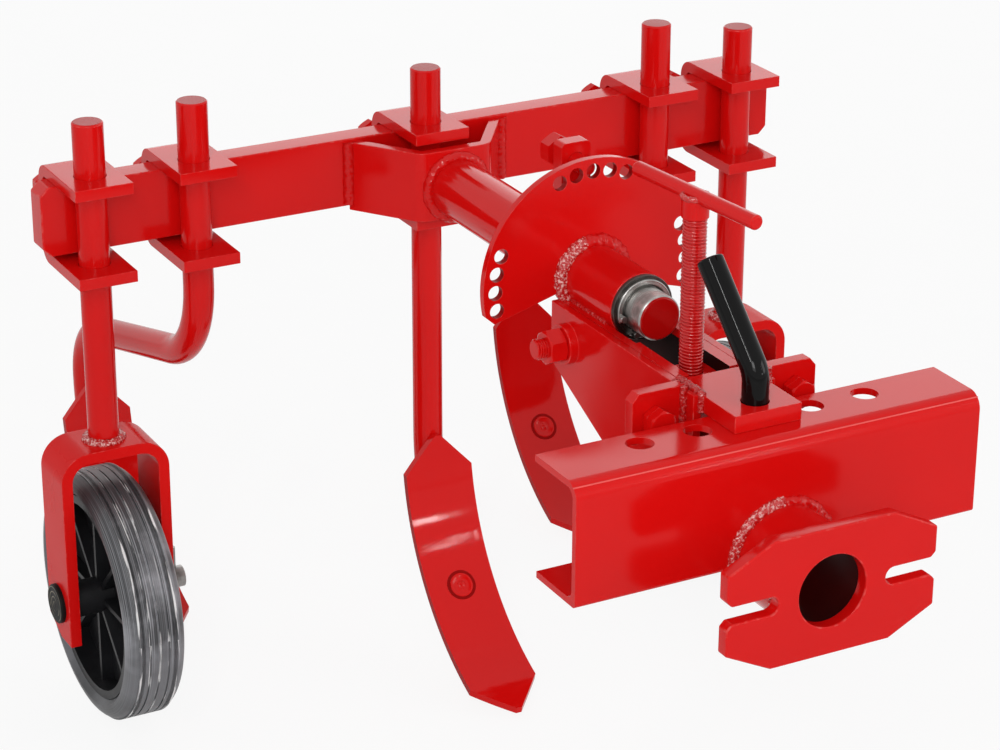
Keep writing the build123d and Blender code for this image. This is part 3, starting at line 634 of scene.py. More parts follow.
def thread_tree(steps: int = 28) -> NodeTree:
    """Screw thread: a ridge wound round the tree's own Z line, standing on the plane Z = 0.

    Args:
        steps: how many points one turn of the ridge has.

    Returns:
        The tree.
    """
    tree = NodeTree("screw_thread")
    radius = tree.input("Radius", "Float", 0.009)
    pitch = tree.input("Pitch", "Float", 0.0025)
    length = tree.input("Length", "Float", 0.1)
    ridge = tree.input("Ridge", "Float", 0.0010)
    inner = tree.sum("SUBTRACT", radius, ridge)
    helix = tree.add("CurveSpiral", Resolution=steps, Rotations=tree.sum("DIVIDE", length, pitch),
                     Start_Radius=inner, End_Radius=inner, Height=length)
    section = tree.add("CurvePrimitiveCircle", {"mode": "RADIUS"}, Resolution=4, Radius=ridge)
    wound = tree.add("CurveToMesh", Curve=helix.outputs["Curve"], Profile_Curve=section.outputs["Curve"],
                     Fill_Caps=True)
    joined = tree.add("JoinGeometry")
    for part in (tree.entry.outputs["Geometry"], wound.outputs["Mesh"]):
        plug(joined.inputs["Geometry"], part)
    tree.close(joined.outputs["Geometry"])
    return tree


def fastener_tree() -> NodeTree:
    """Fasteners: one head or nut on each point, turned to the point's own outward direction.

    Returns:
        The tree.
    """
    tree = NodeTree("fasteners")
    shape = tree.add("ObjectInfo", Object=tree.input("Head", "Object"))
    out = tree.add("InputNamedAttribute", {"data_type": "FLOAT_VECTOR"}, Name="outward")
    turn = tree.add("FunctionNodeAlignRotationToVector", {"axis": "Z"}, Vector=out.outputs["Attribute"])
    points = tree.add("MeshToPoints", Mesh=tree.entry.outputs["Geometry"])
    heads = tree.add("InstanceOnPoints", Points=points.outputs["Points"], Instance=shape.outputs["Geometry"],
                     Rotation=turn.outputs["Rotation"])
    tree.close(heads.outputs["Instances"])
    return tree


def path_mesh(name: str, points: Sequence[Vector], closed: bool = False) -> Mesh:
    """Mesh of edges along a path.

    Args:
        name: the mesh's name.
        points: the path's points, in order.
        closed: whether the last point joins the first.

    Returns:
        The mesh.
    """
    edges = [(i, i + 1) for i in range(len(points) - 1)]
    if closed:
        edges.append((len(points) - 1, 0))
    mesh = bpy.data.meshes.new(name)
    mesh.from_pydata([tuple(p) for p in points], edges, [])
    return mesh


def ring_points(centre: Vector, radius: float, line: Line, start: float = 0.0, sweep: float = 360.0,
                steps: int = 72) -> list[Vector]:
    """Points on a circle or an arc square to a line of the frame.

    Args:
        centre: the circle's centre.
        radius: its radius.
        line: the line that it is square to.
        start: where the arc starts, in degrees.
        sweep: how far it goes round, in degrees.
        steps: how many points it has.

    Returns:
        The points, without the first one again where the circle is full.
    """
    first, second = (i for i in range(3) if i != line.value)
    count = steps if sweep >= 360 else steps - 1
    points = []
    for i in range(steps):
        angle = math.radians(start + sweep * i / count)
        point = centre.copy()
        point[first] += radius * math.cos(angle)
        point[second] += radius * math.sin(angle)
        points.append(point)
    return points


def spun_mesh(name: str, profile: Profile, steps: int = 48, ring: bool = False) -> Mesh:
    """Solid of revolution about Z.

    Args:
        name: the mesh's name.
        profile: radius and height of each point, from the bottom's middle to the top's middle.
        steps: how many flats go round.
        ring: whether the profile closes on itself, clear of the axis.

    Returns:
        The closed mesh, with its faces outwards.
    """
    shape = bmesh.new()
    rings = []
    for radius, height in profile:
        if radius < 1e-9:
            rings.append([shape.verts.new((0, 0, height))])
            continue
        angles = (2 * math.pi * i / steps for i in range(steps))
        rings.append([shape.verts.new((radius * math.cos(a), radius * math.sin(a), height)) for a in angles])
    if ring:
        rings.append(rings[0])
    for low, high in zip(rings, rings[1:]):
        for i in range(steps):
            j = (i + 1) % steps
            corners = [low[i % len(low)], low[j % len(low)], high[j % len(high)], high[i % len(high)]]
            shape.faces.new(list(dict.fromkeys(corners)))
    return closed_mesh(name, shape)


def hex_mesh(name: str, flats: float, height: float, both: bool = False, steps: int = 36,
             top: float = 0.95) -> Mesh:
    """Hexagon head standing on Z = 0, its corners turned off to a cone at the top.

    Args:
        name: the mesh's name.
        flats: width across flats.
        height: the head's height.
        both: whether the foot's corners are turned off as well, as on a nut.
        steps: how many points go round.
        top: width of the round top, as a share of the width across flats.

    Returns:
        The closed mesh.
    """
    face = top * flats / 2
    cone = math.tan(math.radians(30))
    shape = bmesh.new()
    rings: list[list[bmesh.types.BMVert]] = [[], [], [], []]
    for i in range(steps):
        angle = 2 * math.pi * i / steps
        turn = (angle + math.pi / 6) % (math.pi / 3) - math.pi / 6
        reach = flats / 2 / math.cos(turn)
        drop = (reach - face) * cone
        foot_reach, foot_rise = (face, drop) if both else (reach, 0.0)
        levels = ((foot_reach, 0.0), (reach, foot_rise), (reach, height - drop), (face, height))
        for ring, (r, z) in zip(rings, levels):
            ring.append(shape.verts.new((r * math.cos(angle), r * math.sin(angle), z)))
    for low, high in zip(rings, rings[1:]):
        for i in range(steps):
            j = (i + 1) % steps
            if (low[i].co - high[i].co).length > 1e-7 or (low[j].co - high[j].co).length > 1e-7:
                shape.faces.new((low[i], low[j], high[j], high[i]))
    shape.faces.new(reversed(rings[0]))
    shape.faces.new(rings[-1])
    return closed_mesh(name, shape)


def closed_mesh(name: str, shape: bmesh.types.BMesh) -> Mesh:
    """Turn a finished bmesh into a mesh with merged points and faces outwards.

    Args:
        name: the mesh's name.
        shape: the bmesh, which is used up.

    Returns:
        The mesh.
    """
    bmesh.ops.remove_doubles(shape, verts=shape.verts, dist=MERGE)
    bmesh.ops.recalc_face_normals(shape, faces=shape.faces)
    if shape.calc_volume(signed=True) < 0:
        bmesh.ops.reverse_faces(shape, faces=shape.faces)
    mesh = bpy.data.meshes.new(name)
    shape.to_mesh(mesh)
    shape.free()
    mesh.shade_smooth()
    mesh.set_sharp_from_angle(angle=SHARP_ANGLE)
    return mesh


def placed(mesh: Mesh, foot: Vector, outward: Vector) -> Mesh:
    """Stand a mesh made about Z on a point, with its Z turned outwards.

    Args:
        mesh: the mesh, which is moved.
        foot: the point.
        outward: where its Z is turned.

    Returns:
        The same mesh.
    """
    turn = outward.to_track_quat("Z", "Y").to_matrix().to_4x4()
    mesh.transform(Matrix.Translation(foot) @ turn)
    return mesh


def joined_mesh(name: str, meshes: Sequence[Mesh]) -> Mesh:
    """Put several meshes into one, keeping their shading.

    Args:
        name: the new mesh's name.
        meshes: the meshes, which are used up.

    Returns:
        The one mesh.
    """
    parts = [bpy.data.objects.new("part", mesh) for mesh in meshes]
    for part in parts:
        bpy.context.scene.collection.objects.link(part)
    if len(parts) > 1:
        with bpy.context.temp_override(active_object=parts[0], selected_editable_objects=parts):
            bpy.ops.object.join()
    whole = parts[0].data
    bpy.data.objects.remove(parts[0])
    whole.name = name
    return whole


def body_of(node: str) -> str:
    """Name of the body that a CAD node belongs to."""
    return frame["nodes"][node]["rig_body"]


def middle(node: str) -> Vector:
    """Middle of a CAD node's box."""
    low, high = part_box(node)
    return (low + high) / 2


def half_width(node: str) -> float:
    """Half of a CAD node's width along X, which is a round piece's radius."""
    low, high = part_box(node)
    return (high.x - low.x) / 2


class Shop:
    """What every sub-assembly works with: the finishes, the node trees, and the way a piece is put on.

    ripple is the distance between two ripples of a weld bead, as a share of its width, ridge a thread's
    height, as a share of its pitch, and taper the length of its tapered end, as a share of that height.
    """

    ripple: float = 0.4
    ridge: float = 0.42
    taper: float = 0.6
    stem_edge: float = 0.0006

    def __init__(self) -> None:
        """Mix the finishes and build the node trees."""
        plain = ((0.66, 0.0045, 0.0042), (0.61, 0.0035, 0.0032))
        beaded = {"roughness": (0.06, 0.13), "peel_scale": 430.0, "peel_depth": 0.0018, "peel_strength": 1.0,
                  "gloss": 0.6}
        self.red = EnamelPaint("red_enamel", *plain).material()
        self.blade_red = EnamelPaint("red_enamel_on_blades", *plain, (0.05, 0.08), peel_scale=70.0,
                                     peel_depth=0.0008, peel_strength=0.09).material()
        # Lighter red with pale spots for the bevelled edges: wear, and painted highlights where edges catch
        # light.
        self.edge_wear_and_glint_red = EnamelPaint("red_enamel_on_edges_with_wear_and_glints", (0.68, 0.010, 0.009), (0.62, 0.004, 0.004),
                                    (0.16, 0.26), wear_and_glint=0.22).material()
        # Weld paint with a few pale specks: painted glints where the bead's grain catches light.
        self.weld_red = EnamelPaint("red_enamel_on_weld", (0.62, 0.0060, 0.0060), (0.46, 0.0030, 0.003),
                                    **beaded, wear_and_glint=0.10, wear_and_glint_colour=(0.90, 0.60, 0.56), wear_and_glint_scale=430.0).material()
        # Weld paint crowded with pale specks: painted glints where the bead's grain catches light.
        self.glinting_weld_red = EnamelPaint("red_enamel_on_weld_with_painted_glints", (0.60, 0.0060, 0.0060), (0.42, 0.0030, 0.003),
                                       **beaded, wear_and_glint=0.80, wear_and_glint_colour=(0.92, 0.64, 0.60),
                                       wear_and_glint_scale=520.0).material()
        # Pale red for a thin ridge along the channel's bend: a painted highlight.
        self.bend_highlight_red = EnamelPaint("red_enamel_on_bend_highlight", (0.80, 0.13, 0.12),
                                    (0.72, 0.06, 0.055)).material()
        # Darker, duller red for the stems' sawn tops and the blades' sides: painted shade.
        self.painted_shade_red = EnamelPaint("red_enamel_darkened_as_shade", (0.44, 0.0042, 0.0040), (0.36, 0.0030, 0.0028),
                                   (0.20, 0.32), gloss=0.10).material()
        self.fork_red = EnamelPaint("red_enamel_on_fork", (0.70, 0.0060, 0.0050), (0.64, 0.0045, 0.0040),
                                    (0.20, 0.30), gloss=0.07).material()
        # Dark red for the index holes' walls and the ring round each plough bolt's head: painted shade in
        # recesses.
        self.recess_shade_red = EnamelPaint("red_enamel_darkened_in_gaps_as_shade", (0.34, 0.0028, 0.0026), (0.25, 0.0022, 0.0020),
                                   (0.30, 0.45), gloss=0.05).material()
        self.seam_red = EnamelPaint("red_enamel_on_smooth_weld", (0.62, 0.0045, 0.0042),
                                    (0.52, 0.0030, 0.0028), (0.08, 0.16), peel_scale=300.0, peel_depth=0.0012,
                                    peel_strength=0.45, gloss=0.24).material()
        self.thread_red = EnamelPaint("red_enamel_on_thread", (0.62, 0.0045, 0.0042), (0.52, 0.0035, 0.0032),
                                      (0.08, 0.15), gloss=0.6).material()
        # Darker red for the shaft's front face: painted shade.
        self.shaded_end_red = EnamelPaint("red_enamel_darkened_on_shaft_end_as_shade", (0.46, 0.0030, 0.0028),
                                   (0.36, 0.0022, 0.002)).material()
        # Near-black red for the stub's bore and the carrier plates' inner faces: painted shade in the hollows.
        self.inside = EnamelPaint("painted_shade_inside", (0.060, 0.0030, 0.0028), (0.010, 0.0022, 0.002),
                                  (0.40, 0.60), gloss=0.08).material()
        self.black = EnamelPaint("black_enamel", (0.0016, 0.0016, 0.0018), (0.0034, 0.0032, 0.0030),
                                 (0.05, 0.09), peel_scale=500.0, peel_depth=0.0003, peel_strength=0.03,
                                 gloss=0.15).material()
        self.plastic = MouldedPlastic("black_plastic").material()
        shaft = middle("swivel_shaft")
        self.steel = TurnedSteel("turned_steel", shaft, Line.Y).material()
        # Dark steel for the thrust washer: painted shade of the groove that it sits in.
        self.shade_darkened = TurnedSteel("shade_darkened_steel", shaft, Line.Y, (0.10, 0.095, 0.088),
                                 (0.03, 0.028, 0.026)).material()
        self.weld = weld_tree()
        self.thread = thread_tree()
        self.fastener = fastener_tree()

    def put_on(self, mesh: Mesh, name: str, body: str, finish: Optional[Material] = None,
               nodes: Sequence[str] = ()) -> Piece:
        """Make a piece of a finished mesh and let it ride.

        Args:
            mesh: the piece's mesh, in place.
            name: the piece's name.
            body: the body that it rides on.
            finish: its material, or None where the mesh has one.
            nodes: the CAD nodes that it stands for.

        Returns:
            The piece.
        """
        mesh.name = name
        piece = bpy.data.objects.new(name, mesh)
        bpy.context.scene.collection.objects.link(piece)
        if finish:
            mesh.materials.clear()
            mesh.materials.append(finish)
        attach(piece, body)
        if nodes:
            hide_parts(*nodes)
        log.info("%s rides on %s, %d faces", name, body, len(mesh.polygons))
        return piece

    def soften(self, node: str, finish: Material, edge: float = 0.0008) -> Piece:
        """Stand a copy of a CAD node with small radii on its sharp edges in the node's place.

        Args:
            node: the CAD node.
            finish: the copy's material.
            edge: the radius of its edges.

        Returns:
            The copy.
        """
        shape = bmesh.new()
        shape.from_mesh(frame["nodes"][node].data)
        bmesh.ops.remove_doubles(shape, verts=shape.verts, dist=CAD_MERGE)
        bmesh.ops.dissolve_limit(shape, angle_limit=FLAT_ANGLE, verts=shape.verts, edges=shape.edges)
        mesh = bpy.data.meshes.new(node)
        shape.to_mesh(mesh)
        shape.free()
        mesh.shade_smooth()
        mesh.materials.append(finish)
        host = bpy.data.objects.new(f"{node}_host", mesh)
        bpy.context.scene.collection.objects.link(host)
        bevel = host.modifiers.new("edge", "BEVEL")
        bevel.width = edge
        bevel.segments = 2
        bevel.limit_method = "ANGLE"
        bevel.angle_limit = BEVEL_ANGLE
        bevel.use_clamp_overlap = True
        # Bevels on red plates get the edge paint: wear, and painted highlights along the edges.
        if finish in (self.red, self.fork_red):
            mesh.materials.append(self.edge_wear_and_glint_red)
            bevel.material = 1
        host.modifiers.new("normals", "WEIGHTED_NORMAL").keep_sharp = True
        depsgraph = bpy.context.evaluated_depsgraph_get()
        soft = bpy.data.meshes.new_from_object(host.evaluated_get(depsgraph), preserve_all_data_layers=True,
                                               depsgraph=depsgraph)
        host.modifiers.clear()
        bpy.data.objects.remove(host)
        return self.put_on(soft, f"{node}_finished", body_of(node), None, (node,))

    def stem(self, node: str) -> None:
        """Paint a round stem, duller on the sawn end at its top, and darker there as painted shade.

        Args:
            node: the stem's CAD node.
        """
        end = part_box(node)[1].z - FACE_SLACK
        stem = self.soften(node, self.red, self.stem_edge)
        # The sawn top gets the darker red, painted shade.
        self.paint_where(stem, self.painted_shade_red, lambda face: face.center.z > end)

    def paint_where(self, piece: Piece, finish: Material,
                    picks: Callable[[bpy.types.MeshPolygon], bool]) -> None:
        """Give some faces of a piece another finish.

        Args:
            piece: the piece.
            finish: the finish of the picked faces.
            picks: says whether a face is one of them.
        """
        piece.data.materials.append(finish)
        slot = len(piece.data.materials) - 1
        for face in piece.data.polygons:
            if picks(face):
                face.material_index = slot

    def shave(self, piece: Piece, depth: float) -> None:
        """Take a thin layer off a piece all round, so that what slides on it runs clear."""
        for point, normal in [(v, v.normal.copy()) for v in piece.data.vertices]:
            point.co -= normal * depth

    def weld_along(self, name: str, body: str, paths: Paths, width: float, seed: int,
                   finish: Optional[Material] = None, grain: float = 0.7) -> Piece:
        """Lay weld beads along paths, as one piece.

        Args:
            name: the piece's name.
            body: the body that it rides on.
            paths: points of each path, and whether it closes.
            width: the bead's width.
            seed: seed of the bead's grain.
            finish: its material, or None for the usual one.
            grain: the height of its lumps, as a share of its width.

        Returns:
            The piece.
        """
        beads = []
        for i, (points, closed) in enumerate(paths):
            seam = path_mesh(f"{name}_path", points, closed)
            beads.append(self.weld.grow(f"{name}_{i}", seam, Width=width, Ripple=width * self.ripple,
                                        Grain=width * grain, Seed=float(seed + i),
                                        Finish=finish or self.weld_red))
        return self.put_on(joined_mesh(name, beads), name, body)

    def threaded(self, name: str, radius: float, pitch: float, length: float, finish: Material) -> Mesh:
        """Threaded rod standing on Z = 0, about Z.

        Args:
            name: the mesh's name.
            radius: the thread's outer radius.
            pitch: the thread's pitch.
            length: the rod's length.
            finish: its material.

        Returns:
            The mesh.
        """
        ridge = self.ridge * pitch
        end = min(self.taper * ridge, length / 4)
        core = radius - ridge
        profile = ((0, 0), (core, 0), (core, length - end), (core - end, length), (0, length))
        rod = spun_mesh(f"{name}_core", profile)
        return self.thread.grow(name, rod, Radius=radius, Pitch=pitch, Length=length - end, Ridge=ridge,
                                Finish=finish)

    def heads(self, name: str, head: Mesh, places: Sequence[tuple[Vector, Vector]], finish: Material) -> Mesh:
        """Set one head on each place.

        Args:
            name: the mesh's name.
            head: the head, standing on Z = 0.
            places: foot and outward direction of each.
            finish: their material.

        Returns:
            One mesh of all of them.
        """
        model = bpy.data.objects.new(f"{name}_model", head)
        bpy.context.scene.collection.objects.link(model)
        points = bpy.data.meshes.new(f"{name}_points")
        points.from_pydata([tuple(foot) for foot, _ in places], [], [])
        outward = points.attributes.new("outward", "FLOAT_VECTOR", "POINT")
        for datum, (_, direction) in zip(outward.data, places):
            datum.vector = direction
        mesh = self.fastener.grow(name, points, Head=model, Finish=finish)
        bpy.data.objects.remove(model)
        mesh.set_sharp_from_angle(angle=SHARP_ANGLE)
        return mesh


@dataclass
class SubAssembly:
    """A part of the ripper that is dressed by itself."""

    shop: Shop

    def dress(self) -> None:
        """Make the part's pieces."""
        raise NotImplementedError


@dataclass
class Drawbar(SubAssembly):
    """Hitch flange, stub tube and channel, with the welds that join them.

    bend is the outer radius of the channel's bend, press_line the width of a thin pale ridge laid on it
    as a painted highlight, and bend_highlight_angle where that ridge lies round the bend, in degrees.
    """

    flange_edge: float = 0.0012
    stub_wall: float = 0.006
    bead: float = 0.0095
    bend: float = 0.012
    press_line: float = 0.0011
    bend_highlight_angle: float = 47.0
    bend_highlight_ripple: float = 0.02
    bend_highlight_grain: float = 0.2
    bend_highlight_seed: float = 3.0

    def dress(self) -> None:
        """Paint the plates and weld the stub to the flange and the channel's web."""
        shop = self.shop
        shop.soften("flange_plate", shop.red, self.flange_edge)
        shop.soften("drawbar_channel", shop.red)
        stub = shop.soften("stub_tube", shop.red)
        bore = half_width("stub_tube") - self.stub_wall
        # The stub's bore gets the near-black red, painted shade inside the tube.
        shop.paint_where(stub, shop.inside, lambda face: math.hypot(face.center.x, face.center.z) < bore)
        self.draw_bend_highlight()
        self.weld_stub()

    def draw_bend_highlight(self) -> None:
        """Lay a thin pale ridge along the channel's upper bend, as a painted highlight."""
        low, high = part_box("drawbar_channel")
        turn = math.radians(self.bend_highlight_angle)
        depth, level = self.bend * (1 - math.cos(turn)), self.bend * (1 - math.sin(turn))
        ends = [Vector((x, low.y + depth, high.z - level)) for x in (low.x, high.x)]
        highlight_ridge = self.shop.weld.grow("press_line", path_mesh("bend_highlight_path", ends), Width=self.press_line,
                                     Ripple=self.bend_highlight_ripple, Grain=self.press_line * self.bend_highlight_grain,
                                     Seed=self.bend_highlight_seed, Finish=self.shop.bend_highlight_red)
        self.shop.put_on(highlight_ridge, "channel_press_line", "drawbar")

    def weld_stub(self) -> None:
        """Weld the stub round the flange, and to the web as far down as the web reaches."""
        low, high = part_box("stub_tube")
        radius = half_width("stub_tube")
        start = math.degrees(math.asin(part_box("drawbar_channel")[0].z / radius))
        web = ring_points(Vector((0, high.y, 0)), radius + WELD_TOE, Line.Y, start, 180 - 2 * start)
        flange = ring_points(Vector((0, low.y, 0)), radius + WELD_TOE, Line.Y)
        # The stub's beads carry painted glints, kept to the left half, towards the lamps; the right half gets
        # the smoother plain weld paint.
        welds = self.shop.weld_along("stub_welds", "drawbar", ((web, False), (flange, True)), self.bead, 11,
                                     self.shop.glinting_weld_red)
        self.shop.paint_where(welds, self.shop.seam_red, lambda face: face.center.x > 0)


@dataclass
class HitchPin(SubAssembly):
    """Black pin with its bent handle."""

    def dress(self) -> None:
        """Paint the pin."""
        self.shop.soften("hitch_pin", self.shop.black)


@dataclass
class SwingHead(SubAssembly):
    """Cheeks, tongues, ears, seat, and the bolts through them. cheek is the cheeks' thickness."""

    plates: tuple[str, ...] = ("head_cheek_left", "head_cheek_right", "upper_tongue", "lower_tongue",
                               "stop_ears", "screw_seat")
    cheek: float = 0.0065
    bead: float = 0.0065
    grain: float = 0.5
    stop_radius: float = 0.006
    stop_pitch: float = 0.00175
    pivot_radius: float = 0.008
    pivot_pitch: float = 0.002

    def dress(self) -> None:
        """Paint the plates, weld the ears and tongue, and set the bolts."""
        for node in self.plates:
            self.shop.soften(node, self.shop.red)
        self.weld()
        self.set_stop_bolts()
        self.set_pivot()

    def weld(self) -> None:
        """Weld the ears to the cheeks and the tongue between them."""
        ear_low, ear_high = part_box("stop_ears")
        tongue_low, tongue_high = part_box("upper_tongue")
        cheek_low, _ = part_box("head_cheek_right")
        paths = []
        for side in Side:
            x = side.value * (cheek_low.x + self.cheek + WELD_TOE)
            for y in (ear_low.y, ear_high.y):
                paths.append(([Vector((x, y, z)) for z in (ear_low.z, ear_high.z)], False))
            inner = side.value * tongue_high.x
            front, top = cheek_low.y, tongue_high.z
            corners = ((front, tongue_low.z), (front, top), (tongue_high.y, top))
            paths.append(([Vector((inner, y, z)) for y, z in corners], False))
        self.shop.weld_along("head_welds", "head", paths, self.bead, 23, grain=self.grain)

    def set_stop_bolts(self) -> None:
        """Make the two stop bolts and their lock nuts."""
        shop = self.shop
        bolt_low, bolt_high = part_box("stop_bolts")
        nut_low, nut_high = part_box("stop_lock_nuts")
        flats = nut_high.z - nut_low.z
        reach = bolt_high.x - flats / math.sqrt(3)
        level = (nut_low.z + nut_high.z) / 2
        length = bolt_high.y - nut_low.y
        seats = [Vector((side.value * reach, nut_low.y, level)) for side in Side]
        backs = [Vector((side.value * reach, nut_high.y, level)) for side in Side]
        head = hex_mesh("stop_head", flats, nut_low.y - bolt_low.y)
        nut = hex_mesh("stop_nut", flats, nut_high.y - nut_low.y, True)
        parts = [shop.heads("stop_heads", head, [(seat, -REAR) for seat in seats], shop.red)]
        for seat in seats:
            rod = shop.threaded("stop_thread", self.stop_radius, self.stop_pitch, length, shop.red)
            parts.append(placed(rod, seat, REAR))
        bolts = joined_mesh("stop_bolts", parts)
        shop.put_on(bolts, "stop_bolts_finished", "head", None, ("stop_bolts",))
        lock = shop.heads("stop_nuts", nut, [(back, -REAR) for back in backs], shop.red)
        shop.put_on(lock, "stop_lock_nuts_finished", "head", None, ("stop_lock_nuts",))

    def set_pivot(self) -> None:
        """Make the pivot bolt and its nut."""
        shop = self.shop
        bolt_low, bolt_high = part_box("pivot_bolt")
        nut_low, nut_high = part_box("pivot_nut")
        flats = nut_high.z - nut_low.z
        axis = Vector((0, (nut_low.y + nut_high.y) / 2, (nut_low.z + nut_high.z) / 2))
        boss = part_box("head_cheek_right")[1].x
        seat, end = axis + RIGHT * boss, axis + RIGHT * nut_high.x
        radius, grip = self.pivot_radius, boss - nut_high.x
        head = placed(hex_mesh("pivot_head", flats, bolt_high.x - boss), seat, RIGHT)
        shank = spun_mesh("pivot_shank", ((0, 0), (radius, 0), (radius, grip), (0, grip)))
        rod = shop.threaded("pivot_thread", radius, self.pivot_pitch, nut_high.x - bolt_low.x, shop.red)
        bolt = joined_mesh("pivot_bolt", (head, placed(shank, seat, -RIGHT), placed(rod, end, -RIGHT)))
        shop.put_on(bolt, "pivot_bolt_finished", "head", shop.red, ("pivot_bolt",))
        nut = placed(hex_mesh("pivot_nut", flats, nut_high.x - nut_low.x, True), end, -RIGHT)
        shop.put_on(nut, "pivot_nut_finished", "head", shop.red, ("pivot_nut",))


@dataclass
class Carrier(SubAssembly):
    """Housing tube, index sector, inner plates and nut block.

    toe is how far the sector's bead stands off the tube, smooth_reach where the bead turns smoother and its
    painted glints stop, as a share of the tube's radius, seam_ends how far the side seams stop short of the
    tube's ends, and index_rows the radii between which the index holes lie.
    """

    plates: tuple[str, ...] = ("pivot_housing", "sector_plate", "carrier_plate_left", "carrier_plate_right",
                               "screw_nut_block")
    sector_edge: float = 0.0006
    inner_slack: float = 0.0004
    bead: float = 0.012
    toe: float = 0.0015
    smooth_reach: float = 0.3
    seam_bead: float = 0.0055
    seam_grain: float = 0.4
    seam_ends: tuple[float, float] = (0.012, 0.008)
    index_rows: tuple[float, float] = (0.0755, 0.0885)
    wall_slope: float = 0.3

    def dress(self) -> None:
        """Paint the plates, near-black where they face each other as painted shade, and weld the tube to them.
        """
        shop = self.shop
        axis = middle("pivot_housing")
        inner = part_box("carrier_plate_right")[0].x + self.inner_slack
        for node in self.plates:
            if node == "sector_plate":
                sector = shop.soften(node, shop.red, self.sector_edge)
                # The index holes' walls get the dark red, painted shade.
                shop.paint_where(sector, shop.recess_shade_red, lambda face: self.in_index_hole(face, axis))
                continue
            plate = shop.soften(node, shop.red)
            if node.startswith("carrier_plate"):
                # Faces towards the middle get the near-black red, painted shade between the plates.
                shop.paint_where(plate, shop.inside, lambda face: abs(face.center.x) < inner)
        self.weld()

    def in_index_hole(self, face: bpy.types.MeshPolygon, axis: Vector) -> bool:
        """Say whether a face of the sector is in the wall of an index hole.

        Args:
            face: the face.
            axis: a point on the line that the holes lie round.

        Returns:
            Whether it is.
        """
        inner, outer = self.index_rows
        radius = math.hypot(face.center.x, face.center.z - axis.z)
        return abs(face.normal.y) < self.wall_slope and inner < radius < outer

    def weld(self) -> None:
        """Weld the tube round the sector, and along both sides to the inner plates' tops."""
        shop = self.shop
        low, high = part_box("pivot_housing")
        axis = middle("pivot_housing")
        radius = half_width("pivot_housing")
        ring = ring_points(Vector((axis.x, high.y, axis.z)), radius + self.toe, Line.Y)
        # The sector's bead carries painted glints on its left side, towards the lamps; the rest gets the
        # smoother plain weld paint.
        weld = shop.weld_along("sector_weld", "carrier", ((ring, True),), self.bead, 31, shop.glinting_weld_red)
        smooth = axis.x - self.smooth_reach * radius
        shop.paint_where(weld, shop.seam_red, lambda face: face.center.x > smooth)
        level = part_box("carrier_plate_right")[1].z
        reach = math.sqrt(radius ** 2 - (axis.z - level) ** 2)
        ends = (low.y + self.seam_ends[0], high.y - self.seam_ends[1])
        seams = [([Vector((side.value * reach, y, level)) for y in ends], False) for side in Side]
        shop.weld_along("housing_welds", "carrier", seams, self.seam_bead, 37, grain=self.seam_grain)


@dataclass
class PitchScrew(SubAssembly):
    """Adjusting screw with its thread, foot and T-bar.

    neck_height is the neck's length below the T-bar's middle, and overlap how far the thread runs into it.
    """

    pitch: float = 0.0025
    thread_radius: float = 0.009
    neck_height: float = 0.017
    chamfer: float = 0.001
    overlap: float = 0.001
    edge: float = 0.0006
    bead: float = 0.0045
    grain: float = 0.4

    def dress(self) -> None:
        """Make the threaded screw and paint the T-bar and foot."""
        shop, cut = self.shop, self.chamfer
        low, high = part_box("adjusting_screw")
        axis = middle("adjusting_screw")
        bar_low, bar_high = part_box("t_bar")
        neck = half_width("adjusting_screw")
        collar = (bar_low.z + bar_high.z) / 2 - self.neck_height
        rod = shop.threaded("screw_thread", self.thread_radius, self.pitch, collar - low.z + self.overlap,
                            shop.thread_red)
        placed(rod, Vector((axis.x, axis.y, low.z)), UP)
        top = high.z - collar
        profile = ((0, 0), (neck - cut, 0), (neck, cut), (neck, top - cut), (neck - cut, top), (0, top))
        cap = spun_mesh("screw_neck", profile)
        placed(cap, Vector((axis.x, axis.y, collar)), UP)
        cap.materials.append(shop.red)
        screw = joined_mesh("adjusting_screw", (rod, cap))
        shop.put_on(screw, "adjusting_screw_finished", "screw", None, ("adjusting_screw",))
        for node in ("t_bar", "screw_foot"):
            shop.soften(node, shop.red, self.edge)
        ring = ring_points(Vector((axis.x, axis.y, high.z - cut)), neck - cut, Line.Z)
        shop.weld_along("t_bar_weld", "screw", ((ring, True),), self.bead, 41, grain=self.grain)


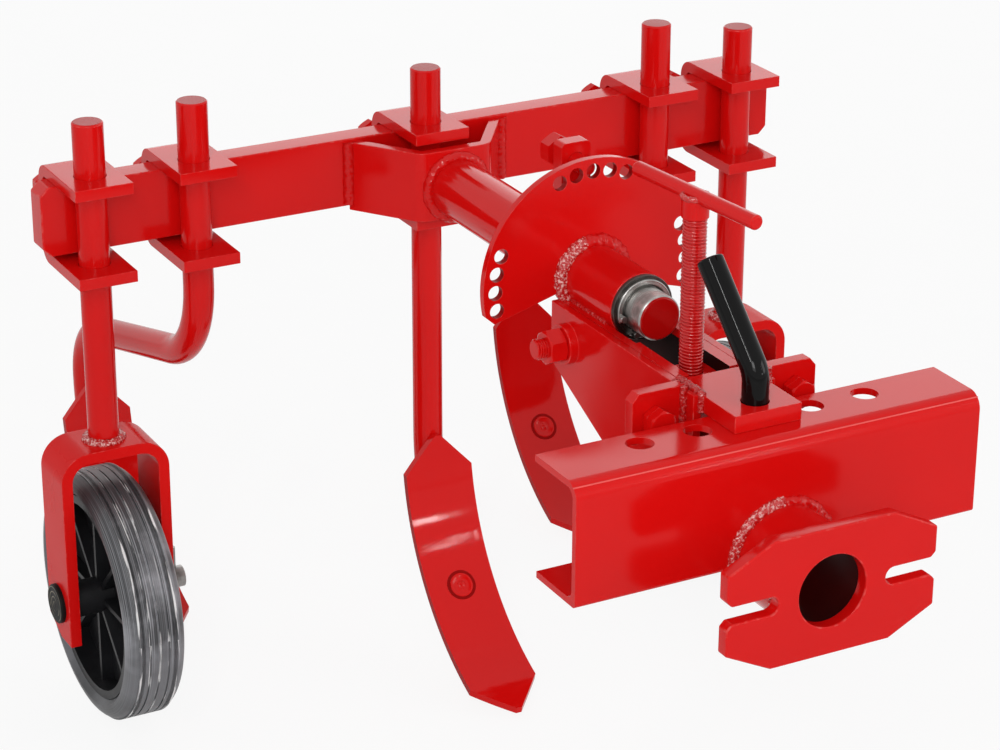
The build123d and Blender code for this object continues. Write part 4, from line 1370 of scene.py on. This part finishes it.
@dataclass
class ToolFrame(SubAssembly):
    """Swivel shaft with its ring, rear tube, bracket, bar, guide and index plunger.

    slide_gap is what the clamps need on the bar, paint_depth how far the paint of the shaft's end reaches,
    ring_seat the radius at which the retaining ring's bevel ends, ring_opening the angles of its opening in
    degrees, and stud_turn how far round from the opening its studs sit.
    """

    plates: tuple[str, ...] = ("rear_tube", "v_bracket", "tool_bar", "index_guide")
    bar_edge: float = 0.0012
    turned_edge: float = 0.0005
    slide_gap: float = 0.00006
    paint_depth: float = 0.0012
    bead: float = 0.010
    grain: float = 0.32
    foot_clear: float = 0.002
    guide_bead: float = 0.006
    guide_grain: float = 0.4
    guide_steps: int = 24
    plunger_tip: float = 0.0055
    plunger_step: float = 0.008
    plunger_radius: float = 0.007
    plunger_head: float = 0.013
    tip_chamfer: float = 0.001
    step_chamfer: float = 0.0006
    ring_bore: float = 0.0165
    ring_seat: float = 0.0176
    ring_edge: float = 0.0006
    ring_lip: float = 0.0014
    ring_steps: int = 72
    ring_opening: tuple[float, float] = (200.0, 236.0)
    stud_turn: float = 9.0
    stud_flats: float = 0.0048
    stud_height: float = 0.004

    def dress(self) -> None:
        """Paint the frame, leave the shaft's side bare, and weld the tube and bracket."""
        shop = self.shop
        for node in self.plates:
            if node == "tool_bar":
                shop.shave(shop.soften(node, shop.red, self.bar_edge), self.slide_gap)
            else:
                shop.soften(node, shop.red)
        # The thrust washer is the dark steel, painted shade.
        shop.soften("thrust_washer", shop.shade_darkened, self.turned_edge)
        self.make_ring()
        self.paint_shaft_end()
        self.weld()
        self.make_plunger()

    def paint_shaft_end(self) -> None:
        """Leave the shaft bare, with red paint, darkened as painted shade, on its front face only."""
        shaft = self.shop.soften("swivel_shaft", self.shop.steel, self.turned_edge)
        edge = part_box("swivel_shaft")[0].y + self.paint_depth
        self.shop.paint_where(shaft, self.shop.shaded_end_red, lambda face: face.center.y < edge)

    def make_ring(self) -> None:
        """Make the split retaining ring, bevelled towards the shaft, with a stud each side of its opening."""
        low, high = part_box("retaining_ring")
        axis = middle("swivel_shaft")
        outer, thick = half_width("retaining_ring"), high.y - low.y
        bore, seat, edge, lip = self.ring_bore, self.ring_seat, self.ring_edge, self.ring_lip
        profile = ((bore, thick), (outer, thick), (outer, edge), (outer - edge, 0), (seat + lip, 0),
                   (seat, lip), (bore, lip))
        start, stop = self.ring_opening[1] - 360, self.ring_opening[0]
        shape = bmesh.new()
        rows = []
        for i in range(self.ring_steps + 1):
            angle = math.radians(start + (stop - start) * i / self.ring_steps)
            across, up = math.cos(angle), math.sin(angle)
            rows.append([shape.verts.new((axis.x + r * across, low.y + depth, axis.z + r * up))
                         for r, depth in profile])
        for near, far in zip(rows, rows[1:]):
            for i in range(len(profile)):
                shape.faces.new((near[i - 1], near[i], far[i], far[i - 1]))
        shape.faces.new(rows[0])
        shape.faces.new(rows[-1])
        ring = closed_mesh("retaining_ring", shape)
        places = []
        for turn in (start + self.stud_turn, stop - self.stud_turn):
            angle = math.radians(turn)
            reach = Vector((math.cos(angle), 0, math.sin(angle))) * (outer + seat) / 2
            places.append((Vector((axis.x, low.y, axis.z)) + reach, -REAR))
        stud = hex_mesh("ring_stud", self.stud_flats, self.stud_height)
        studs = self.shop.heads("ring_studs", stud, places, self.shop.steel)
        whole = joined_mesh("retaining_ring", (ring, studs))
        self.shop.put_on(whole, "retaining_ring_finished", "tool_frame", self.shop.steel, ("retaining_ring",))

    def weld(self) -> None:
        """Weld the tube to the bracket's nose, the bracket's feet to the bar, and the guide to the tube."""
        shop = self.shop
        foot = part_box("v_bracket")[1]
        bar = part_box("tool_bar")[0]
        axis = middle("rear_tube")
        radius = half_width("rear_tube")
        ring = ring_points(Vector((axis.x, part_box("rear_tube")[1].y, axis.z)), radius + WELD_TOE, Line.Y)
        seams: list[tuple[Sequence[Vector], bool]] = [(ring, True)]
        for side in Side:
            ends = [Vector((foot.x * side.value, bar.y, z)) for z in (bar.z + self.foot_clear, foot.z)]
            seams.append((ends, False))
        shop.weld_along("frame_welds", "tool_frame", seams, self.bead, 53, shop.seam_red, self.grain)
        guide_low, guide_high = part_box("index_guide")
        spread = math.degrees(math.asin(guide_high.x / radius))
        arcs = []
        for y in (guide_low.y, guide_high.y):
            arc = ring_points(Vector((axis.x, y, axis.z)), radius + WELD_TOE, Line.Y, 90 - spread, 2 * spread,
                              self.guide_steps)
            arcs.append((arc, False))
        shop.weld_along("guide_welds", "tool_frame", arcs, self.guide_bead, 59, shop.seam_red,
                        self.guide_grain)

    def make_plunger(self) -> None:
        """Paint the stepped plunger and give it a turned hexagon head."""
        low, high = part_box("index_plunger")
        axis = middle("index_plunger")
        tip, shank, step = self.plunger_tip, self.plunger_radius, self.plunger_step
        cut, small = self.tip_chamfer, self.step_chamfer
        bare = high.y - low.y - self.plunger_head
        profile = ((0, 0), (tip - cut, 0), (tip, cut), (tip, step), (shank - small, step),
                   (shank, step + small), (shank, bare), (0, bare))
        foot = Vector((axis.x, low.y, axis.z))
        stem = placed(spun_mesh("plunger_stem", profile), foot, REAR)
        head = placed(hex_mesh("plunger_head", high.z - low.z, self.plunger_head), foot + REAR * bare, REAR)
        whole = joined_mesh("plunger", (stem, head))
        self.shop.put_on(whole, "index_plunger_finished", "plunger", self.shop.red, ("index_plunger",))


@dataclass
class BarClamp(SubAssembly):
    """U-strap on the bar, with its pressure bolt and lock nut."""

    station: str
    edge: float = 0.001
    bolt_radius: float = 0.006
    thread_pitch: float = 0.00175
    head_height: float = 0.008
    nut_height: float = 0.010

    def dress(self) -> None:
        """Paint the strap and make the bolt."""
        shop = self.shop
        strap, node = f"{self.station}_clamp", f"{self.station}_clamp_bolt"
        shop.soften(strap, shop.red, self.edge)
        low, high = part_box(node)
        flats = high.z - low.z
        axis = middle(node)
        line = Vector((axis.x, 0, axis.z))
        shoulder = high.y - self.head_height
        length = shoulder - low.y
        rod = shop.threaded("pressure_thread", self.bolt_radius, self.thread_pitch, length, shop.red)
        placed(rod, line + REAR * low.y, REAR)
        head = hex_mesh("pressure_head", flats, self.head_height)
        nut = hex_mesh("pressure_nut", flats, self.nut_height, True)
        tops = shop.heads("pressure_heads", head, [(line + REAR * shoulder, REAR)], shop.red)
        nuts = shop.heads("pressure_nuts", nut, [(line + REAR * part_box(strap)[1].y, REAR)], shop.red)
        shop.put_on(joined_mesh(node, (rod, tops, nuts)), f"{node}_finished", body_of(node), None, (node,))


@dataclass
class Tine(SubAssembly):
    """Round stem, pointed arc blade and the plough bolt that joins them.

    splay is how far the blade turns outwards and bolt_angle how far the bolt's face looks up, in degrees. The
    outlines give radius and height above the blade's face: rim_outline from the head's edge, button_outline
    from its middle, and gap_outline from the outer edge of the gap round it.
    """

    station: str
    splay: float = 0.0
    shaded_side_slope: float = 0.85
    bolt_angle: float = 39.0
    bolt_radius: float = 0.005
    bolt_sink: float = 0.005
    bolt_tail: float = 0.003
    head_radius: float = 0.0104
    rim_outline: Profile = ((-0.0015, -0.0016), (0, -0.0002), (0, 0.0006), (-0.0004, 0.0011),
                            (-0.0012, 0.0012), (-0.0026, 0.0009), (-0.0034, 0.0006))
    button_outline: Profile = ((0.0038, 0.0006), (0.0030, 0.0013), (0.0018, 0.0018), (0, 0.0020))
    gap: float = 0.0026
    gap_lap: float = 0.0004
    gap_level: float = 0.0005
    gap_outline: Profile = ((-0.0006, -0.0016), (0, 0.0003), (-0.0003, 0.0006))
    nut_flats: float = 0.017
    nut_height: float = 0.008
    thread_pitch: float = 0.0015
    end_slack: float = 1e-5

    def dress(self) -> None:
        """Paint stem and blade, and make the plough bolt that holds them together."""
        shop = self.shop
        shop.stem(f"{self.station}_stem")
        blade = shop.soften(f"{self.station}_blade", shop.blade_red)
        # The blade's sides get the darker red, painted shade.
        shop.paint_where(blade, shop.painted_shade_red, lambda face: abs(face.normal.x) > self.shaded_side_slope)
        node = f"{self.station}_blade_bolt"
        front, back, out = self.bolt_line(node)
        face = (front - back).length
        seat = self.bolt_tail + self.nut_height
        shank = placed(spun_mesh(f"{node}_shank", self.bolt_profile(seat, face)), back, out)
        shank.materials.append(shop.red)
        # A ring of dark red round the head, painted shade in the gap.
        seam = placed(spun_mesh(f"{node}_gap", self.gap_profile(face), ring=True), back, out)
        seam.materials.append(shop.recess_shade_red)
        end = shop.threaded(f"{node}_thread", self.bolt_radius, self.thread_pitch, seat, shop.red)
        placed(end, back + out * seat, -out)
        nut = hex_mesh(f"{node}_nut", self.nut_flats, self.nut_height, True)
        nuts = shop.heads(f"{node}_nuts", nut, [(back + out * seat, -out)], shop.red)
        bolt = joined_mesh(node, (shank, seam, end, nuts))
        shop.put_on(bolt, f"{node}_finished", body_of(node), None, (node,))

    def bolt_profile(self, seat: float, face: float) -> list[tuple[float, float]]:
        """Outline of the plain part of the bolt, from its seat in the nut to the button on its head.

        Args:
            seat: height of the seat above the bolt's back end.
            face: height of the blade's face.

        Returns:
            Radius and height of each point.
        """
        rod = self.bolt_radius
        shaft = [(0, seat), (rod, seat), (rod, face - self.bolt_sink)]
        rim = [(self.head_radius + out, face + up) for out, up in self.rim_outline]
        return shaft + rim + [(radius, face + up) for radius, up in self.button_outline]

    def gap_profile(self, face: float) -> list[tuple[float, float]]:
        """Outline of the gap round the bolt's head, whose dark red is painted shade.

        Args:
            face: height of the blade's face above the bolt's back end.

        Returns:
            Radius and height of each point.
        """
        near, far = self.head_radius - self.gap_lap, self.head_radius + self.gap
        wall = [(far + out, face + up) for out, up in self.gap_outline]
        return [(near, wall[0][1]), *wall, (near, face + self.gap_level)]

    def bolt_line(self, node: str) -> tuple[Vector, Vector, Vector]:
        """Find where the plough bolt lies.

        Args:
            node: the bolt's CAD node.

        Returns:
            Middle of its front face, middle of its back end, and the direction that its face looks in.
        """
        turn = math.radians(self.bolt_angle)
        out = Matrix.Rotation(math.radians(self.splay), 3, "Z") @ Vector((0, -math.cos(turn), math.sin(turn)))
        points = [v.co for v in frame["nodes"][node].data.vertices]
        reach = [p.dot(out) for p in points]
        ends = []
        for limit in (max(reach), min(reach)):
            face = [p for p, r in zip(points, reach) if abs(r - limit) < self.end_slack]
            ends.append(sum(face, Vector()) / len(face))
        return ends[0], ends[1], out


@dataclass
class DepthWheel(SubAssembly):
    """Stem, fork, axle, tyre and rim of one depth wheel.

    outward is the side that its cap is on, bead_radius the tyre's inner radius, and shoulder the radius
    between its tread and its flank.
    """

    station: str
    outward: Side
    fork_edge: float = 0.0012
    rim_edge: float = 0.0005
    axle_edge: float = 0.0004
    bead: float = 0.0085
    grain: float = 0.5
    bead_radius: float = 0.086
    bead_chamfer: float = 0.005
    shoulder: float = 0.013
    shoulder_steps: int = 9
    groove: float = 0.0016
    groove_depth: float = 0.0012
    groove_pitch: float = 0.008
    groove_count: int = 5
    tyre_steps: int = 160

    def dress(self) -> None:
        """Paint the steel, and give the tyre, rim and axle their own finishes."""
        shop = self.shop
        stem, fork = f"{self.station}_stem", f"{self.station}_fork"
        shop.stem(stem)
        shop.soften(fork, shop.fork_red, self.fork_edge)
        axis = middle(stem)
        ring = ring_points(Vector((axis.x, axis.y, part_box(stem)[0].z)), half_width(stem) + WELD_TOE, Line.Z)
        # The fork's bead carries painted glints.
        shop.weld_along(f"{fork}_weld", body_of(fork), ((ring, True),), self.bead, 67, shop.glinting_weld_red,
                        self.grain)
        self.make_tyre()
        shop.soften(f"{self.station}_rim", shop.plastic, self.rim_edge)
        self.dress_axle()

    def make_tyre(self) -> None:
        """Turn the tyre, with round shoulders and narrow grooves in its tread."""
        node = f"{self.station}_tyre"
        centre = middle(node)
        low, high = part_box(node)
        half, tread = half_width(node), (high.z - low.z) / 2
        bead, chamfer, curve = self.bead_radius, self.bead_chamfer, self.shoulder
        flank = [(bead, half - chamfer), (bead + chamfer, half)]
        for i in range(self.shoulder_steps + 1):
            turn = math.radians(90 * i / self.shoulder_steps)
            flank.append((tread - curve * (1 - math.sin(turn)), half - curve * (1 - math.cos(turn))))
        profile = [(radius, -across) for radius, across in flank]
        wide, narrow, floor = self.groove / 2, self.groove / 3, tread - self.groove_depth
        for i in range(self.groove_count):
            place = (i - (self.groove_count - 1) / 2) * self.groove_pitch
            profile += [(tread, place - wide), (floor, place - narrow), (floor, place + narrow),
                        (tread, place + wide)]
        profile += reversed(flank)
        tyre = placed(spun_mesh(node, profile, self.tyre_steps, True), centre, RIGHT)
        rubber = TyreRubber(f"{self.station}_rubber", centre).material()
        self.shop.put_on(tyre, f"{node}_finished", body_of(node), rubber, (node,))

    def dress_axle(self) -> None:
        """Give the axle bare steel and its cap ringed black plastic."""
        centre = middle(f"{self.station}_tyre")
        steel = TurnedSteel(f"{self.station}_axle_steel", centre, Line.X, (0.30, 0.29, 0.28),
                            (0.09, 0.085, 0.08))
        cap = CapPlastic(f"{self.station}_cap_plastic", centre)
        axle = self.shop.soften(f"{self.station}_axle", steel.material(), self.axle_edge)
        low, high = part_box(f"{self.station}_fork")
        edge = low.x if self.outward is Side.LEFT else high.x
        self.shop.paint_where(axle, cap.material(),
                              lambda face: (face.center.x - edge) * self.outward.value > -FACE_SLACK)


@dataclass(frozen=True)
class Lamp:
    """One area lamp: where it hangs, its width, its power in watts, and its height where it is not square."""

    name: str
    place: tuple[float, float, float]
    size: float
    power: float
    tall: Optional[float] = None

    def hang(self, aim: Vector) -> None:
        """Hang the lamp and point it at its aim.

        Args:
            aim: the point.
        """
        data = bpy.data.lights.new(self.name, "AREA")
        data.shape = "RECTANGLE"
        data.size = self.size
        data.size_y = self.tall or self.size
        data.energy = self.power
        lamp = bpy.data.objects.new(self.name, data)
        lamp.location = self.place
        lamp.rotation_euler = (aim - Vector(self.place)).to_track_quat("-Z", "Y").to_euler()
        lamp.visible_camera = False
        bpy.context.scene.collection.objects.link(lamp)


@dataclass
class Studio:
    """Pale floor, soft light and the photograph's camera.

    floor_shown and floor_mirrored are how much of the floor's white is seen by the camera and in the gloss.
    horizon and zenith are the room's brightness there, and rise the heights at which one becomes the other.
    """

    eye: Vector = field(default_factory=lambda: Vector((-1.0558, -1.4983, 0.9333)))
    target: Vector = field(default_factory=lambda: Vector((0.0086, 0.4959, -0.0299)))
    roll: float = 0.17
    lens: float = 108.46
    sensor: float = 36.0
    sight: float = 60.0
    floor_size: float = 16.0
    floor_shown: float = 0.89
    floor_mirrored: float = 0.45
    aim: Vector = field(default_factory=lambda: Vector((0, 0.45, 0)))
    lamps: tuple[Lamp, ...] = (
        Lamp("key", (-1.5, -2.4, 1.7), 0.9, 17.0),
        Lamp("front", (-1.28, -1.91, 1.13), 0.9, 8.0),
        Lamp("strip", (-1.6, -1.44, 2.02), 0.08, 13.0, 1.0),
        Lamp("low glint", (1.09, -1.90, 0.43), 0.045, 0.85, 0.10),
        Lamp("high glint", (1.12, -1.69, 0.92), 0.012, 0.5, 0.22),
        Lamp("overhead", (-0.2, 0.3, 2.6), 2.2, 4.0),
        Lamp("fill", (2.4, -1.6, 0.9), 1.2, 15.0),
        Lamp("panel", (1.25, 2.75, 1.05), 1.7, 9.0),
    )
    horizon: float = 0.94
    zenith: float = 0.46
    rise: tuple[float, float] = (-0.1, 0.7)

    def set_up(self) -> None:
        """Build the floor, lamps, world and camera."""
        self.lay_floor()
        for lamp in self.lamps:
            lamp.hang(self.aim)
        self.fill_world()
        self.place_camera()

    def lay_floor(self) -> None:
        """Lay a plain pale floor under the wheels."""
        half = self.floor_size / 2
        level = CAD_BOX[0][2]
        mesh = bpy.data.meshes.new("floor")
        corners = [(x, y, level) for x, y in ((-half, -half), (half, -half), (half, half), (-half, half))]
        mesh.from_pydata(corners, [], [(0, 1, 2, 3)])
        floor = bpy.data.objects.new("floor", mesh)
        bpy.context.scene.collection.objects.link(floor)
        mesh.materials.append(self.floor_finish())

    def floor_finish(self) -> Material:
        """White floor that keeps a soft shadow.

        Returns:
            Its material.
        """
        pad = MaterialPad("pale_floor")
        grain = pad.spread(pad.noise(14.0, 3.0), 0.0, 1.0)
        pad.feed(pad.shader, Base_Color=pad.mix(grain, (0.80, 0.80, 0.80), (0.83, 0.83, 0.83)), Roughness=0.9,
                 Specular_IOR_Level=0.1)
        glow = pad.add("Emission", Color=(1, 1, 1, 1), Strength=1.0)
        rays = pad.add("LightPath").outputs
        sharp = pad.sum("MAXIMUM", rays["Is Glossy Ray"], rays["Is Transmission Ray"])
        seen = pad.sum("MAXIMUM", pad.sum("MULTIPLY", rays["Is Camera Ray"], self.floor_shown),
                       pad.sum("MULTIPLY", sharp, self.floor_mirrored))
        blend = pad.add("MixShader")
        for socket, value in zip(blend.inputs, (seen, pad.shader.outputs[0], glow.outputs[0])):
            plug(socket, value)
        plug(pad.tree.nodes["Material Output"].inputs["Surface"], blend.outputs[0])
        return pad.material

    def fill_world(self) -> None:
        """Light the room from all round, brighter at the horizon than above, and show white behind."""
        world = bpy.data.worlds.new("room")
        bpy.context.scene.world = world
        world.use_nodes = True
        pad = ShaderPad(world.node_tree)
        place = pad.add("SeparateXYZ", Vector=pad.add("TexCoord").outputs["Generated"])
        white = pad.spread(place.outputs["Z"], self.horizon, self.zenith, *self.rise)
        rays = pad.add("LightPath").outputs
        for kind in ("Is Camera Ray", "Is Glossy Ray", "Is Transmission Ray"):
            white = pad.sum("MAXIMUM", white, rays[kind])
        pad.feed(pad.tree.nodes["Background"], Strength=white, Color=(1, 1, 1, 1))

    def place_camera(self) -> None:
        """Put the camera where the photograph was taken from."""
        data = bpy.data.cameras.new("camera")
        data.sensor_width = self.sensor
        data.lens = self.lens
        data.clip_end = self.sight
        camera = bpy.data.objects.new("camera", data)
        camera.location = self.eye
        look = (self.target - self.eye).to_track_quat("-Z", "Y").to_matrix()
        camera.rotation_euler = (look @ Matrix.Rotation(math.radians(self.roll), 3, "Z")).to_euler()
        bpy.context.scene.collection.objects.link(camera)
        bpy.context.scene.camera = camera
        bpy.context.scene.view_settings.view_transform = "Standard"


def main() -> None:
    """Dress every sub-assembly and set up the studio."""
    logging.basicConfig(level=logging.INFO, format="%(message)s")
    shop = Shop()
    kinds = (Drawbar, HitchPin, SwingHead, Carrier, PitchScrew, ToolFrame)
    parts: list[SubAssembly] = [kind(shop) for kind in kinds]
    stations = ("left_wheel", "left_tine", "centre_tine", "right_tine", "right_wheel")
    parts += [BarClamp(shop, station) for station in stations]
    parts += [Tine(shop, "left_tine", 1.3), Tine(shop, "centre_tine"), Tine(shop, "right_tine", -1.3)]
    parts += [DepthWheel(shop, "left_wheel", Side.LEFT), DepthWheel(shop, "right_wheel", Side.RIGHT)]
    for part in parts:
        part.dress()
    Studio().set_up()


if __name__ == "__main__":
    main()
